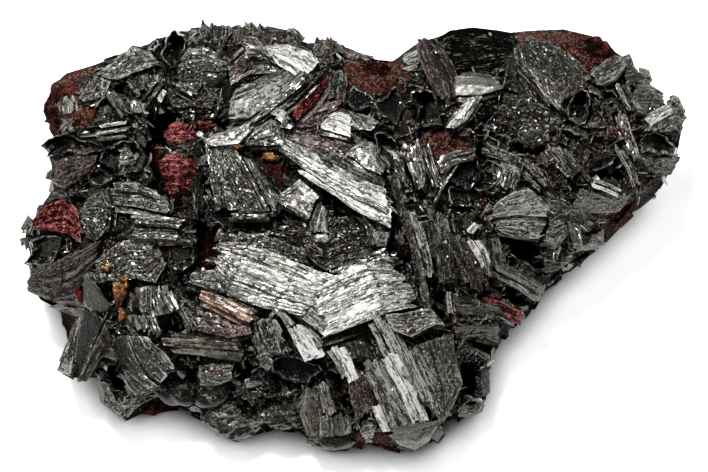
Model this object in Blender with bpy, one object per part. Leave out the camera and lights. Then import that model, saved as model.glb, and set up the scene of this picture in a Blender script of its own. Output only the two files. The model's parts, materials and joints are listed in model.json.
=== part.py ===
"""Goethite pseudomorph: a crust of flat, hollow and splintered crystals on a lump of brown ironstone.

Sizes in the tables are millimetres on the display face, a plane that leans back from the table.
A place on it is (across, up), and `out` is the height above it, towards whoever looks at it.
"""
import math
import random

import bmesh
import bpy
from mathutils import Vector, noise

# driving dimensions
MM = 0.001
LEAN = math.radians(65)          # from the table to the display face's normal
PLANE_AT = (-0.1, -1.6, 20.0)     # where the display face's middle stands over the table, mm
CROWN = 17.0                     # how far the crust's middle stands out past its rim
RIM_OUT = -6.0                   # the rim's height on the display face
RIM_LEAN = -0.16                 # and its fall per mm up the face
CORE_DROP = 10.0                 # thickness of the crust over the middle of the ironstone
CORE_SHARE = 0.94                # its outline as a share of the crust's
GAP = 0.7                        # between the two solids, before the crust is thinned out
BED_DROP = 1.4                   # the bed between crystals, below the plane their lifts count from
WALL = 0.9                       # wall of an open crystal
LOOSE = 0.08                     # corners of neighbouring crystals miss each other by this much
FOOT = 1.0                       # the crust ends this far above the table
BED_ROUGH = 1.1                  # roughness of the bed
CORE_ROUGH = 1.3                 # roughness of the ironstone under the crust
BACK_ROUGH = 3.2                 # and round its sides
BARE_DEPTH = 8.0                 # how far down a bare swell of it is rooted
CRUST_TRIANGLES = 8400           # what the crust is thinned to
SEED = 7

# the crust's outline, anticlockwise from the middle of the left side going clockwise over the top
OUTLINE = [
    (-55.6, 16), (-52.8, 20.2), (-55, 23.6), (-54.6, 27), (-52, 29.4), (-47, 30.9), (-41, 33.4),
    (-36, 35.2), (-31.6, 37.2), (-28, 36.8), (-22.3, 37.6), (-17.5, 37.4), (-12, 36.4), (-8.5, 34.9),
    (-4, 35.2), (0, 33.6), (3.4, 32), (7, 31.6), (11.5, 35), (18, 36.9), (25, 36.4), (31, 37.1),
    (38, 37.4), (43, 36.2), (48.6, 32.4), (52.8, 28), (55.8, 24), (59.4, 21), (58.2, 14.5), (55.4, 9),
    (50, 4.8), (44, -1.4), (36.4, -6.2), (33, -11.4), (28, -15.8), (25, -20.4), (23.8, -25),
    (23.6, -29.4), (20, -31.2), (16.2, -32.4), (14.5, -36), (9.5, -37.6), (2, -36.8), (-4, -37.4),
    (-10, -34.2), (-15, -33.6), (-21, -35.6), (-26.4, -32.4), (-31, -30), (-36, -28.2), (-40.6, -32),
    (-44.6, -29.6), (-45.4, -24.6), (-49.8, -24.4), (-51.2, -21), (-49.6, -14), (-56, -10.8),
    (-58.2, -6), (-58.6, 0), (-57, 4), (-54, 9), (-54.6, 13)]

# broad swells and dips of the crust: across, up, reach, rise
SWELLS = [(8, -27, 15, 2.5), (-35, 15, 8, -3), (31, 29, 12, 2), (4, 31, 8, -2.5), (-38, -23, 8, 1.5),
          (0, -1, 6, -1.5), (52, 19, 6, 1.5)]
# where the brown ironstone comes through: across, up, two radii, rise over the crust
BARE_STONE = [(-50.5, 26, 5.5, 5.2, 0.6), (-46, 20.5, 6, 4.5, -1.2), (4, 29, 8.5, 4.6, 0.4),
              (42.5, 33.2, 8.5, 4.6, 0.6), (33, 35, 6, 2.6, 0.2), (49.5, 6.6, 4.4, 3.8, 0.2),
              (1, -35.6, 9, 2.6, 0.2), (16, 16.4, 5.5, 3, -0.6)]

# flat-faced crystals: name, lift of the face over the crust, its two tilts in degrees, how deep it
# is rooted, and the face as one edge and the edge across from it
BLADES = [
    ("knob crystal", 1.6, -8, 6, 2.5,
     [(-52.6, 24.3), (-52, 21.6)], [(-51.6, 25.4), (-50.2, 23.8), (-50.4, 21.8)]),
    ("lobed crystal", 3.5, -6, 16, 5,
     [(-46.4, 29), (-43, 31.9), (-39.5, 34), (-36.3, 32.7)],
     [(-45, 28.2), (-42, 28), (-37.5, 29.8), (-34.4, 30.6)]),
    ("lobed tail", 2.2, -10, 8, 4,
     [(-49.8, 24), (-47.6, 27.4), (-46, 28.8)], [(-48, 23.8), (-44.4, 25.2), (-43.4, 27.6)]),
    ("propped blade", 4.5, 8, -10, 6,
     [(-43.9, 25.8), (-40.2, 21.1)], [(-43.1, 26.4), (-39.5, 21.8)]),
    ("inner face", -0.5, 0, -22, 3,
     [(-47.6, 22.2), (-43.8, 24.9), (-41, 23)], [(-48.4, 19.2), (-44, 19.6), (-40, 19.4)]),
    ("rim plate", 2, -12, 8, 3,
     [(-53.5, 18.6), (-50.4, 21.5)], [(-51.6, 18.1), (-49.8, 18.7)]),
    ("rosy face", 2.5, -12, -6, 4,
     [(-54.2, 12.5), (-51, 14.3), (-45.4, 14.4)], [(-53.8, 9.2), (-51.5, 8), (-48.6, 10.4), (-46, 12.8)]),
    ("leaning lath 3", 2.4, 6, 12, 4,
     [(-37.8, 28.6), (-36.8, 26.4)], [(-34, 29.4), (-34.2, 27.4)]),
    ("top druse", 2.6, 0, 10, 5,
     [(-30, 37), (-26.4, 37.1)], [(-30, 33.2), (-28, 34.4), (-26, 34.4)]),
    ("rib 3", 2.4, -8, 4, 5,
     [(-21.9, 34.6), (-21.8, 37.2)], [(-19.8, 34.4), (-19.6, 37.9)]),
    ("crest slope", 2, 0, 14, 4,
     [(-16.6, 37.6), (-12.2, 36.9)], [(-18, 36), (-14.4, 34.2), (-12.6, 34.2)]),
    ("crest knob", 2.4, 6, 6, 4,
     [(-12.4, 36.8), (-11.2, 37)], [(-12, 34.6), (-9.6, 34.4), (-9, 35.6)]),
    ("granular face", 2.4, -8, 4, 5,
     [(-31.6, 30.2), (-29.8, 32.9), (-26.6, 32.6)], [(-31.4, 26.2), (-28.4, 25), (-27, 27)]),
    ("granular face 2", 3, 4, 8, 5,
     [(-27, 32.6), (-22.6, 31)], [(-27.2, 27), (-24.4, 27.2), (-22.4, 28.6)]),
    ("ledge under", 1.6, 0, -14, 4,
     [(-33.4, 25), (-28.4, 24.6), (-24.4, 24.9)], [(-32.8, 22.8), (-29, 23), (-25, 22.6)]),
    ("rust blade", 2.8, 8, -4, 4,
     [(-22.4, 31.2), (-19.6, 33.6)], [(-22.4, 27.2), (-20.2, 28.2), (-18.8, 30.6)]),
    ("upper slab 2", 3, 12, 10, 5,
     [(-20, 36), (-18.6, 35.8), (-14.8, 31.8)], [(-19.8, 34.6), (-16, 31.6), (-14.4, 30.6)]),
    ("white plate", 5, 4, 8, 5,
     [(-15.9, 34.1), (-11.5, 34.2), (-8, 32.8), (-6, 31)],
     [(-15.5, 32.8), (-13.5, 30.4), (-11, 28.8), (-8.8, 27.2)]),
    ("dark behind", 1.8, 0, 6, 4,
     [(-21, 30.4), (-16, 31.4), (-13.4, 30)], [(-20.4, 28.6), (-16, 29), (-12.2, 28.9)]),
    ("silver arm", 5, -6, 6, 6,
     [(-22.1, 22.4), (-21.8, 24.6), (-17, 26.7), (-12.3, 28.8)],
     [(-22.4, 20.6), (-18.2, 20.8), (-14.2, 23.6), (-9.6, 26.6)]),
    ("silver foot", 4.4, -8, 4, 6,
     [(-26.8, 17.1), (-24, 18), (-21, 18.9), (-18.4, 20.4)],
     [(-26, 15.9), (-22.4, 15.9), (-20.2, 16.2), (-17.4, 19.6)]),
    ("long dark lath", 5.6, 10, 10, 7,
     [(-19.4, 19.4), (-14.4, 23.9), (-9, 28.5)], [(-17, 20.4), (-12.4, 24), (-8, 27.7)]),
    ("under lath", 4.4, 14, 4, 6,
     [(-15.4, 22.2), (-11.6, 25.2), (-8.6, 27.6)], [(-13.6, 21.4), (-10.6, 23.6), (-5, 29.4)]),
    ("kite plate", 3.4, 4, -10, 5,
     [(-19.6, 16.6), (-18, 18.8), (-15.4, 20.5)], [(-19, 15.9), (-15, 16), (-12.2, 16.4), (-12.4, 19)]),
    ("red leaf", 3.6, 12, 4, 5,
     [(-11, 21.5), (-8.6, 25.3), (-4.8, 29.2)], [(-10.2, 20.4), (-7, 23.4), (-4.6, 27.2)]),
    ("steel wing", 2.8, 12, 0, 5,
     [(-4.4, 29.9), (-5, 24.2)], [(-1.8, 29.6), (-2.2, 23.8)]),
    ("rosy floor", 2, 6, 0, 4,
     [(-10, 20.4), (-6.4, 23.2), (-2.2, 24.4)], [(-10.4, 18.8), (-6, 19.6), (-2.6, 21.2)]),
    ("pink window", 4.2, 4, -2, 5,
     [(-6.1, 19.6), (-4.2, 21.4), (-2.5, 21), (0.1, 19.4)], [(-6, 19), (-3, 18.1), (-0.6, 17.5)]),
    ("grey strip", 3.4, 8, 4, 5,
     [(-2.4, 22.8), (2.4, 21), (4.2, 20)], [(-2.8, 21.2), (0.6, 18.8), (3.6, 18.6)]),
    ("dark rosy bed", 2.2, 4, 4, 4,
     [(-12, 18.6), (-6, 18.4), (1.6, 15.2)], [(-12.6, 16.4), (-6, 13.6), (-1.6, 12.2)]),
    ("tan crystal", 3.2, -6, 0, 4,
     [(-7.6, 33), (-6, 34.9)], [(-6.2, 31.2), (-4.6, 30.6), (-3.6, 32.6)]),
    ("bright lath", 6, 6, -4, 5,
     [(-13.6, 16.9), (-6, 12.9), (2, 9.5), (5.2, 7.2), (7.9, 2.8)],
     [(-13.8, 16), (-10.4, 12), (-3, 7), (2, 3.8), (7.3, 1.7)]),
    ("frost tri", 4.6, 6, -4, 5,
     [(-1.6, 14.6), (1, 16.2), (3.4, 15.9), (5.5, 11.8)], [(-1.7, 13.2), (2, 11.6), (4.6, 10.7)]),
    ("dark keel", 4, -6, 10, 5,
     [(-1.6, 12.8), (2, 11.2), (5.6, 9.4)], [(-2.2, 11.4), (2.4, 9.4), (5.2, 7.4)]),
    ("kite frost", 4.6, 0, -6, 5,
     [(-13.9, 6.9), (-9.6, 10), (-6, 7)], [(-13.7, 6.2), (-10, 4), (-7.9, 2.5)]),
    ("cone crystal", 3, 0, -10, 5,
     [(-5.7, 5.4), (-7.2, 0.6)], [(-5, 5.2), (-4.4, 0.4)]),
    ("cone dark", 3.6, 12, -8, 5,
     [(-6.2, 6.4), (-8, 2.4), (-7.6, 0.6)], [(-5.6, 6), (-7, 1)]),
    ("block face", 3.6, -4, -4, 6,
     [(-26, 15.6), (-25.6, 11), (-24.4, 4.2)], [(-21, 15.8), (-19.4, 11.4), (-15.8, 4.4)]),
    ("strap lath 1", 4.6, 14, 0, 6,
     [(-20.9, 14.4), (-15.4, 4.2)], [(-20, 14.2), (-14.4, 4)]),
    ("strap lath 2", 5, -10, 0, 6,
     [(-19.8, 14.4), (-14.2, 3.9)], [(-19, 14), (-13.4, 4.2)]),
    ("strap lath 3", 4.4, 14, 0, 6,
     [(-18.6, 12.6), (-13.6, 4.9)], [(-17.8, 12.2), (-13, 6.2)]),
    ("pale band", 4.6, 0, 12, 6,
     [(-22, 4), (-18, 4), (-14.4, 4)], [(-21.6, 2.9), (-17, 2.7), (-14.6, 2.9)]),
    ("lower lip", 3.6, 0, 16, 5,
     [(-20.4, 0.9), (-17.4, 0.4), (-14.4, 1.2)], [(-20.6, 0.2), (-17, -0.4), (-13.8, 0.4)]),
    ("speckled bed", 2.4, 2, 2, 4,
     [(-8.4, 2.2), (-4, 3.6), (0.6, 3.6)], [(-9.6, -2.6), (-5, -6.2), (0, -4.6), (5.8, -2.8)]),
    ("fan left", 4.4, 0, -4, 6,
     [(-25, -1.5), (-18, -1.4), (-10, -4.4), (-3.4, -7.6)],
     [(-29.3, -8.2), (-23, -10.3), (-16, -12.8), (-8.6, -14.2)]),
    ("fan right", 5, -2, -2, 6,
     [(-7, -9.4), (-3.5, -7.4), (2, -4.6), (7.8, -5)],
     [(-5.8, -18), (0.4, -15.7), (6, -13.5), (12.2, -12.2)]),
    ("fan top", 4.6, 0, 8, 6,
     [(-4.4, -6.4), (1, -3.6), (5.6, -2)], [(-3, -7.6), (2, -5.2), (7.6, -4.8)]),
    ("fan skirt", 3, 0, -40, 5,
     [(-5.6, -17.8), (1, -15.8), (4.4, -14.6)], [(-5.4, -19.4), (1.6, -17.2), (5, -15.8)]),
    ("dark sliver", 4.2, 12, 0, 5,
     [(0.6, 3.9), (3.6, -1.2)], [(2, 3.6), (4.6, 0)]),
    ("tri crystal", 4.6, 0, 4, 5,
     [(3.2, 0.8), (4, -1.9)], [(6.5, 0.8), (5.8, -1.9)]),
    ("trough left", 4.4, -16, -2, 7,
     [(5.6, 10.6), (8, 3), (10.4, -5), (12.2, -13.4)], [(7.6, 11.4), (9.8, 3), (12, -5), (13.8, -12.6)]),
    ("trough rib", 5.2, 10, 0, 7,
     [(9.6, 4.4), (11.2, -1), (13, -8)], [(10.8, 4.8), (12.6, -1.8), (13.8, -7.4)]),
    ("trough blue", 3.6, -10, 0, 6,
     [(11.4, 3), (13, -4)], [(13.6, 3.2), (14.4, -4.6)]),
    ("trough wall", 1.6, 8, 0, 5,
     [(5.6, 14), (8.6, 6)], [(8.2, 13.6), (11.2, 6)]),
    ("lath r1", 3.6, 12, 0, 7,
     [(14, 4.4), (15.2, -2), (16, -8.4)], [(15.6, 4.2), (17, -1.6), (17.2, -8)]),
    ("lath r2", 3.8, -12, 0, 7,
     [(16.2, 0.4), (17.6, -4), (19.6, -8.6)], [(17.4, 0.8), (19, -3.4), (20.4, -8.2)]),
    ("lath r3", 4, 12, 0, 7,
     [(18.4, -0.2), (20.4, -4.6), (22.4, -10)], [(19.2, 0.2), (21.4, -3.8), (23, -9.6)]),
    ("lath r4", 5, 4, 0, 7,
     [(19.6, -0.6), (21.4, -3.6), (22.6, -6)], [(20.6, -0.4), (22.2, -2.6), (23, -5)]),
    ("lath r5", 4.6, -8, 0, 7,
     [(22.2, -0.6), (23, -7.2)], [(23, -0.6), (23.9, -7.4)]),
    ("lath r6", 3.6, 8, 0, 7,
     [(24, 0), (25.2, -6)], [(25.6, -0.2), (27, -5)]),
    ("pink lath", 4.6, 6, -4, 7,
     [(11.2, 35.4), (12.8, 30), (15.6, 24)], [(13.4, 35.6), (16.6, 31.4), (18.1, 28), (18, 24.4)]),
    ("green tab", 2.6, -6, 0, 4,
     [(8.1, 31.6), (11.4, 33.6)], [(9.6, 30.6), (12, 30.8)]),
    ("striped roof", 3.4, 0, 8, 5,
     [(12.6, 35.9), (18, 37.3), (24, 36.9), (29, 36.4)],
     [(16.4, 31), (18.4, 28.4), (24, 28.6), (30, 29.6)]),
    ("pale shelf", 4.2, 0, 12, 6,
     [(18, 28.4), (22.8, 28.3), (26.4, 26.6)], [(16, 23.9), (18.4, 25), (22.2, 24.9), (26, 26)]),
    ("white fan", 4.6, -4, 8, 6,
     [(15.9, 18.7), (18.4, 22), (20.4, 24.8)], [(17.4, 18.8), (20.2, 20.6), (22.9, 25)]),
    ("shade plate", 1.8, -6, 0, 4,
     [(28, 33), (26.6, 28.6), (27, 26.2)], [(28.8, 30.4), (31.6, 27), (35.6, 22.4)]),
    ("grain face", 2.8, -2, 4, 4,
     [(29.4, 34), (31.2, 35.8), (36, 34.6)], [(29.6, 30.8), (32.4, 27.4), (36.2, 22.8), (38.4, 25.4)]),
    ("grain face low", 2.4, 2, 4, 4,
     [(36, 34.6), (39.6, 31)], [(36.2, 24), (38.4, 24.6), (42, 26.8)]),
    ("crest blade", 4.6, 10, 0, 6,
     [(28.3, 33.7), (28.7, 30.6), (31.6, 27.4), (36, 22)],
     [(29, 33.7), (29.5, 31), (32.4, 27.7), (36.7, 22.4)]),
    ("silver rails", 3.4, 0, 8, 5,
     [(42.2, 27.2), (43.6, 29.4), (48.2, 31.6)], [(44, 26.8), (47, 28), (49, 30.8)]),
    ("corner block", 2.6, 10, 2, 5,
     [(48.2, 31.4), (50, 32.1)], [(48.6, 26.6), (50.6, 27.4), (51, 29.8)]),
    ("corner tooth", 2, 6, 0, 4,
     [(50.6, 29.6), (53, 29.2)], [(50.8, 27.2), (53.3, 26)]),
    ("green plate", 3, 4, 6, 5,
     [(50, 26.2), (53.2, 26.4), (55.8, 24.3)], [(50.2, 22.2), (52.4, 22), (54.6, 22.8)]),
    ("bright rod", 4, 0, 6, 5,
     [(51.6, 20.9), (54, 22.4), (56.4, 23.6)], [(52.8, 19.5), (55, 20.8), (57.6, 22.2)]),
    ("end knob", 2.6, 12, 0, 5,
     [(56.2, 24.2), (57, 24.8), (58.4, 24.3)], [(57.6, 21), (58.6, 19.4), (60, 21.4)]),
    ("rod shelf", 3, 8, -8, 5,
     [(53.6, 19.6), (57.6, 21.8)], [(54.6, 18.4), (58.2, 18.8)]),
    ("bowl", 2.2, 6, -8, 4,
     [(50.4, 14.8), (54, 13.8), (58.6, 14.4)], [(50.2, 12.2), (53.6, 11.2), (57.2, 11)]),
    ("rim left of hollow", 3.4, -8, 0, 5,
     [(46.6, 22.4), (47.6, 18), (49.8, 13)], [(47.6, 22.6), (48.8, 18.4), (50.6, 13.6)]),
    ("diag blade 1", 4, 10, 0, 5,
     [(46.2, 27.4), (48.6, 22)], [(47.2, 27.6), (49.6, 22.4)]),
    ("diag blade 2", 3.8, -10, 0, 5,
     [(45.6, 16), (48.4, 11.8), (49.6, 8)], [(46.4, 16.4), (49.2, 12), (50.4, 8)]),
    ("bright quill", 4, 0, 8, 5,
     [(41.4, 9.4), (43, 9.9), (46.6, 8.6)], [(41.8, 8.5), (46.4, 7.8)]),
    ("lower slab", 2.2, 4, -6, 4,
     [(40, 8.4), (46, 7.4), (49.8, 7.4)], [(38, 4), (43, 4), (47.6, 4.4)]),
    ("vane crystal", 3.8, -6, 4, 6,
     [(9.2, 16.4), (9, 13.6), (11, 8.2)], [(11.4, 17.3), (12.4, 14), (12.8, 11), (12.4, 8)]),
    ("vane rim", 4.4, 10, 0, 6,
     [(11.8, 16.8), (12.6, 13), (14.6, 8.4)], [(12.4, 16.6), (13.2, 13.2), (15.2, 8.6)]),
    ("web plate", 3.6, 0, 10, 5,
     [(14.6, 12), (16, 13.2), (18.4, 14), (21.8, 14.3)], [(15.4, 10.8), (17.8, 12.6), (21.6, 13.4)]),
    ("speckled slope", 2.8, 0, 6, 5,
     [(26.4, 24.8), (31, 24.4), (35.4, 21)], [(25.4, 22), (29, 20.4), (33.6, 18.2), (36, 18.6)]),
    ("scallop", 3.6, 0, 4, 5,
     [(28.4, 18.2), (31, 19.4), (35, 17.4)], [(28.9, 17.6), (30.6, 16.2), (34, 16.1)]),
    ("mid ridge", 3.2, 0, 10, 5,
     [(22.6, 15.8), (27, 14.4), (33, 11)], [(22.4, 14.6), (27.6, 12.8), (32.6, 9.6)]),
    ("leaf shard", 3.8, -10, 0, 5,
     [(26, 13.4), (25.4, 8.6)], [(27.4, 13.2), (28.6, 11), (27, 8)]),
    ("cross blade 1", 3.6, 12, 6, 5,
     [(28.4, 14), (33.8, 8.4)], [(29, 14.4), (34.6, 9.2)]),
    ("cross blade 2", 3.6, 10, 6, 5,
     [(34, 15.4), (38.6, 10)], [(34.8, 15.8), (39.2, 10.8)]),
    ("cross blade 3", 3.4, 10, 6, 5,
     [(36.6, 15.6), (42, 8.8)], [(37.4, 15.8), (42.6, 9.6)]),
    ("right tier 1", 4.6, -2, 6, 6,
     [(24.2, 4.8), (26.4, 6.6), (30.4, 8.3)], [(24.2, 3.2), (29, 3.6), (34.3, 3.4)]),
    ("right tier tip", 4.4, 6, 4, 6,
     [(30.4, 8.3), (33.4, 5.6)], [(29.4, 5), (34.2, 3.6)]),
    ("right tier 2", 3.6, 0, -6, 6,
     [(24.6, 2.6), (29, 3), (34.2, 2.8)], [(25.2, 0.8), (28, -0.2), (33, -0.6)]),
    ("right flank", 3, 6, -4, 5,
     [(34.2, 2.6), (37.6, 3)], [(33.4, -1.4), (35.4, -2.8), (37.4, -0.8)]),
    ("pale rod", 3.6, 0, 0, 5,
     [(37.7, 2.7), (39, -2.4)], [(38.9, 2.6), (40.1, -2.3)]),
    ("pale wedge", 2.4, 8, -6, 4,
     [(42, 0.2), (44.2, 0.6)], [(41.6, -1.6), (44.4, -2.4)]),
    ("speckled flank", 2.2, 4, -2, 4,
     [(34, 8), (40, 4.6), (43, 2)], [(34.4, 3.4), (37.4, 3), (41.4, 0.4)]),
    ("ledge lath 1", 4, 0, 10, 6,
     [(24.6, -4.8), (29, -6.4), (34, -9.4)], [(24.8, -6), (29, -8), (33.9, -10.6)]),
    ("ledge lath 2", 3.4, 0, -10, 6,
     [(24.8, -6.4), (29, -8.4), (33.6, -11.2)], [(25.4, -7.6), (29.2, -9.6), (33, -12.4)]),
    ("flank top", 2, 4, -10, 4,
     [(33.4, -3), (36, -3.4), (40, -3.6)], [(34, -6.6), (36.4, -6.2)]),
    ("red ledge", 1.6, 0, -6, 4,
     [(22.6, -10.8), (26, -11.4), (30, -13.6)], [(22.6, -12.8), (26.4, -14.8), (29.8, -16)]),
    ("low tier 1", 2.6, 0, -6, 5,
     [(18, -12), (22, -12.4), (25.6, -14)], [(18, -13.6), (22, -14), (25, -15)]),
    ("low tier 2", 3, 0, -4, 5,
     [(17.4, -15.9), (22, -15.8), (25.8, -15.6)], [(18, -18.2), (22.4, -17.8), (26, -19.2)]),
    ("low tier 3", 2.4, 0, -4, 5,
     [(18.2, -20), (21.4, -19.8), (24.4, -21.2)], [(18.6, -21), (21.6, -20.8), (24, -22.6)]),
    ("toe block", 2.4, 6, -4, 5,
     [(21.4, -23.4), (23.8, -23)], [(22, -27.8), (24.4, -27)]),
    ("toe foot", 1.6, 0, -6, 4,
     [(18.6, -30.2), (21.4, -30), (23.8, -28.6)], [(18.4, -31.7), (21, -31.8), (23, -30.9)]),
    ("front face", 4.2, 4, -4, 7,
     [(10.2, -19.4), (12.6, -26), (15.2, -33.4)], [(17.3, -16.8), (18.3, -23), (19.2, -26), (17.2, -30.6)]),
    ("cap slab", 5, 2, -4, 7,
     [(5.4, -13.8), (9.6, -13.2), (13.6, -12.4)],
     [(6.4, -16.4), (10, -17.8), (14.4, -15.6), (16.6, -16.2)]),
    ("cap inset", 5.6, 0, -8, 6,
     [(8, -15.8), (13.4, -13.8)], [(9.8, -17.7), (13.8, -15.6)]),
    ("front lath 1", 5.4, -10, -4, 7,
     [(3.2, -14.2), (6, -19.6), (8.6, -25)], [(4.6, -13.7), (7.6, -19.6), (10, -24.6)]),
    ("front lath 2", 5, 12, -4, 7,
     [(4.8, -13.8), (8, -20), (12.6, -30.6)], [(5.9, -13.9), (9.2, -20.2), (13.8, -30.6)]),
    ("front lath 3", 5.8, -6, -4, 8,
     [(4.4, -21), (8, -27.4), (10.4, -33.2)], [(5.8, -20.4), (9.4, -26.8), (11.9, -32.7)]),
    ("front lath 4", 5.6, -8, -4, 7,
     [(8.2, -20.2), (10.4, -25), (12.2, -29.4)], [(9, -19.8), (11.4, -24.8), (13.2, -29.2)]),
    ("front lath 5", 4.8, 8, -4, 7,
     [(10.4, -19.8), (12.2, -24.4), (14.6, -32)], [(11.6, -19.6), (13.6, -24.6), (16, -31.6)]),
    ("front lath 6", 5.2, 6, -4, 7,
     [(1.5, -22.8), (4, -28), (6.6, -33.8)], [(2.6, -22.2), (5.2, -27.4), (8.2, -33.9)]),
    ("front lath 7", 4.4, -10, -4, 7,
     [(2.8, -22), (5.6, -27.6), (8.4, -33.6)], [(4.2, -21), (7, -26.4), (10.2, -33.2)]),
    ("front lath 8", 5, 0, -6, 7,
     [(2.8, -29.6), (5, -34.6)], [(4.4, -29.2), (6.6, -34.6)]),
    ("dull face", 3.8, -6, -4, 6,
     [(-1.2, -25.8), (-0.6, -29), (0.4, -32)], [(1.6, -23.4), (2.8, -28.6), (2.6, -30.6)]),
    ("prism lath", 5, -6, 0, 7,
     [(-4.4, -19.4), (-2, -23.2), (-0.9, -26)], [(-3, -18.9), (-1, -22.6), (0.1, -25.3)]),
    ("glassy inset", 3, 8, 0, 5,
     [(-2.6, -18.6), (-0.8, -22)], [(1.4, -18.2), (2.2, -21.4)]),
    ("iridescent foot", 3.4, -4, -8, 5,
     [(0.8, -34.2), (2.2, -32.8), (3.8, -33)], [(1.9, -36.1), (3.4, -35.8)]),
    ("chin", 2.6, 0, -14, 5,
     [(6, -35.2), (9, -34.1), (15, -33.6)], [(8, -37), (10.8, -38), (13.4, -36.4)]),
    ("column 1", 3.4, -12, -8, 6,
     [(-8.4, -27), (-9.6, -31.6), (-8, -35.9)], [(-6.8, -26.6), (-6.4, -31), (-6, -35.2)]),
    ("column 2", 4.4, -6, -6, 6,
     [(-6.3, -26), (-5.6, -29), (-4.8, -32)], [(-4.8, -25), (-4, -28), (-3.2, -31.4)]),
    ("column 3", 3.2, 0, -14, 5,
     [(-6.2, -31.4), (-6, -35.4)], [(-0.8, -31.6), (-0.6, -34.8)]),
    ("hook left", 4, 6, 0, 6,
     [(-17.9, -15.2), (-17, -18.4), (-15.6, -21)], [(-15.2, -13.9), (-13.6, -17.4), (-12.5, -20.6)]),
    ("white splay", 5.4, 0, -2, 6,
     [(-11.9, -16), (-10, -19.6), (-8.6, -22.2)], [(-10.7, -15.5), (-8, -18.3), (-6.1, -21.2)]),
    ("splay spine", 4.4, 10, 0, 6,
     [(-9.6, -16), (-6.4, -20.4)], [(-8.6, -15.6), (-5.6, -19.6)]),
    ("rosy plate", 3.8, 0, -6, 6,
     [(-29.2, -12.5), (-24, -12.6), (-18.2, -14.9)], [(-27.6, -16.8), (-22, -17.9), (-17.8, -17.2)]),
    ("copper lath", 5.4, 0, -4, 6,
     [(-27, -9.5), (-23.4, -10.5), (-19, -13), (-17.2, -14.3)],
     [(-27.3, -11), (-24, -12.6), (-20, -14.6), (-18.4, -15.2)]),
    ("fibre lath", 4.6, -8, -2, 6,
     [(-30.6, -12.2), (-28.2, -17)], [(-29.4, -12.5), (-27.3, -16.2)]),
    ("shelf lath 1", 4.2, 0, 6, 5,
     [(-34, -17.9), (-28, -18), (-20.4, -18.7)], [(-33.6, -19.4), (-28, -19.7), (-19.8, -20.1)]),
    ("shelf lath 2", 4.6, 0, -8, 3.5,
     [(-32.4, -19.9), (-26, -19.8), (-19.4, -20.7)], [(-31.6, -20.6), (-26, -21.3), (-19.8, -22.3)]),
    ("grey web", 4, 0, 0, 5,
     [(-18, -21.8), (-16, -20.3), (-14, -20.9)], [(-15.4, -24), (-14.2, -23)]),
    ("red petal", 3, -12, 0, 4,
     [(-57.8, 2.3), (-55, 5.7), (-52, 6.7), (-49.6, 4.4)],
     [(-56.8, 1.2), (-53.6, 0.8), (-51, 0.4), (-48.2, -1.4)]),
    ("dark tip", 1.4, -14, 0, 3,
     [(-59.9, 0.4), (-58.2, 3.7)], [(-57.2, 0.2), (-57.2, 2.6)]),
    ("striated wing", 3.2, -8, -6, 4,
     [(-58.5, -5.9), (-54, -5), (-49.6, -2.9), (-44.4, -0.4)],
     [(-58.4, -9.8), (-54, -11.6), (-49.4, -10.2), (-46.2, -5.6)]),
    ("wing foot", 1.6, -4, -14, 4,
     [(-55.6, -11), (-50, -9.4), (-47.6, -9)], [(-51.2, -12.8), (-49, -13.8), (-47.8, -12.6)]),
    ("wing sheet 1", 3.4, -22, -4, 4,
     [(-48.4, -12.5), (-50.3, -17.4), (-52.8, -23.9)], [(-48, -13), (-49.7, -19), (-50.2, -25)]),
    ("wing sheet 2", 3.4, 14, -4, 4,
     [(-48.2, -12.6), (-49.4, -19), (-49.9, -25.2)], [(-44.3, -15), (-46.6, -20), (-48.8, -25.2)]),
    ("wing sheet 3", 4, -14, -4, 4,
     [(-43.9, -15), (-46.8, -20.4), (-48.8, -25)], [(-42.9, -18), (-45.4, -21.6), (-47.8, -25.3)]),
    ("wing web", 3, 6, -8, 4,
     [(-46, -19.6), (-43, -18)], [(-46.4, -22.4), (-44, -21.4), (-41.6, -22.4)]),
    ("dark shield", 4, 8, -4, 5,
     [(-47.8, -7.2), (-48.1, -12.4)], [(-46.2, -7.6), (-43.1, -12.2), (-44.5, -14.7)]),
    ("blue tri", 4.6, -6, 4, 5,
     [(-47.2, -6.7), (-46, -8.6)], [(-44.4, -5.9), (-44.2, -8.4)]),
    ("silver druse", 4, -2, 0, 6,
     [(-44.6, -3), (-41, -0.8), (-36, -0.7)],
     [(-44.2, -6), (-41, -8), (-36, -7.8), (-33.6, -5.6), (-33.6, -3)]),
    ("ochre", 4.6, -4, -4, 5,
     [(-42.7, -8.3), (-40.4, -8.5)], [(-42, -10.8), (-41.3, -12.4), (-40.7, -11)]),
    ("slate post", 5, -8, 0, 6,
     [(-38.1, -9.4), (-37.7, -13.4)], [(-36.6, -8.7), (-36.5, -13.4)]),
    ("post lath 2", 4.4, -6, 0, 6,
     [(-36.6, -13), (-34.8, -18)], [(-35.4, -12.8), (-33.7, -17.4)]),
    ("silver slash", 4.8, -4, 0, 6,
     [(-34.2, -9.8), (-32.2, -13.9)], [(-32.9, -9.2), (-31.2, -12.8)]),
    ("green side", 3.6, 8, 0, 5,
     [(-35.6, -8.6), (-34.6, -14)], [(-34.4, -8.4), (-33, -14.2)]),
    ("tier 1", 4, 0, 8, 5,
     [(-43.4, 9.4), (-39, 9.8), (-34.4, 8)], [(-43.2, 8), (-38.6, 7.6), (-34, 6.4)]),
    ("tier 2", 4, 0, -6, 5,
     [(-43, 7), (-38, 6.8), (-32.6, 5.2)], [(-42.6, 5.4), (-38, 5), (-32.4, 3.8)]),
    ("tier 3", 3.8, 0, 8, 5,
     [(-39.6, 3.6), (-35, 3.4), (-30.4, 2.6)], [(-39.4, 2), (-35, 1.6), (-30.6, 1.2)]),
    ("tier 4", 4.4, 0, 8, 5,
     [(-39.8, 0.4), (-35, 0.8), (-31, 0.4)], [(-39.6, -0.7), (-35, -0.6), (-31, -0.8)]),
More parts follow.
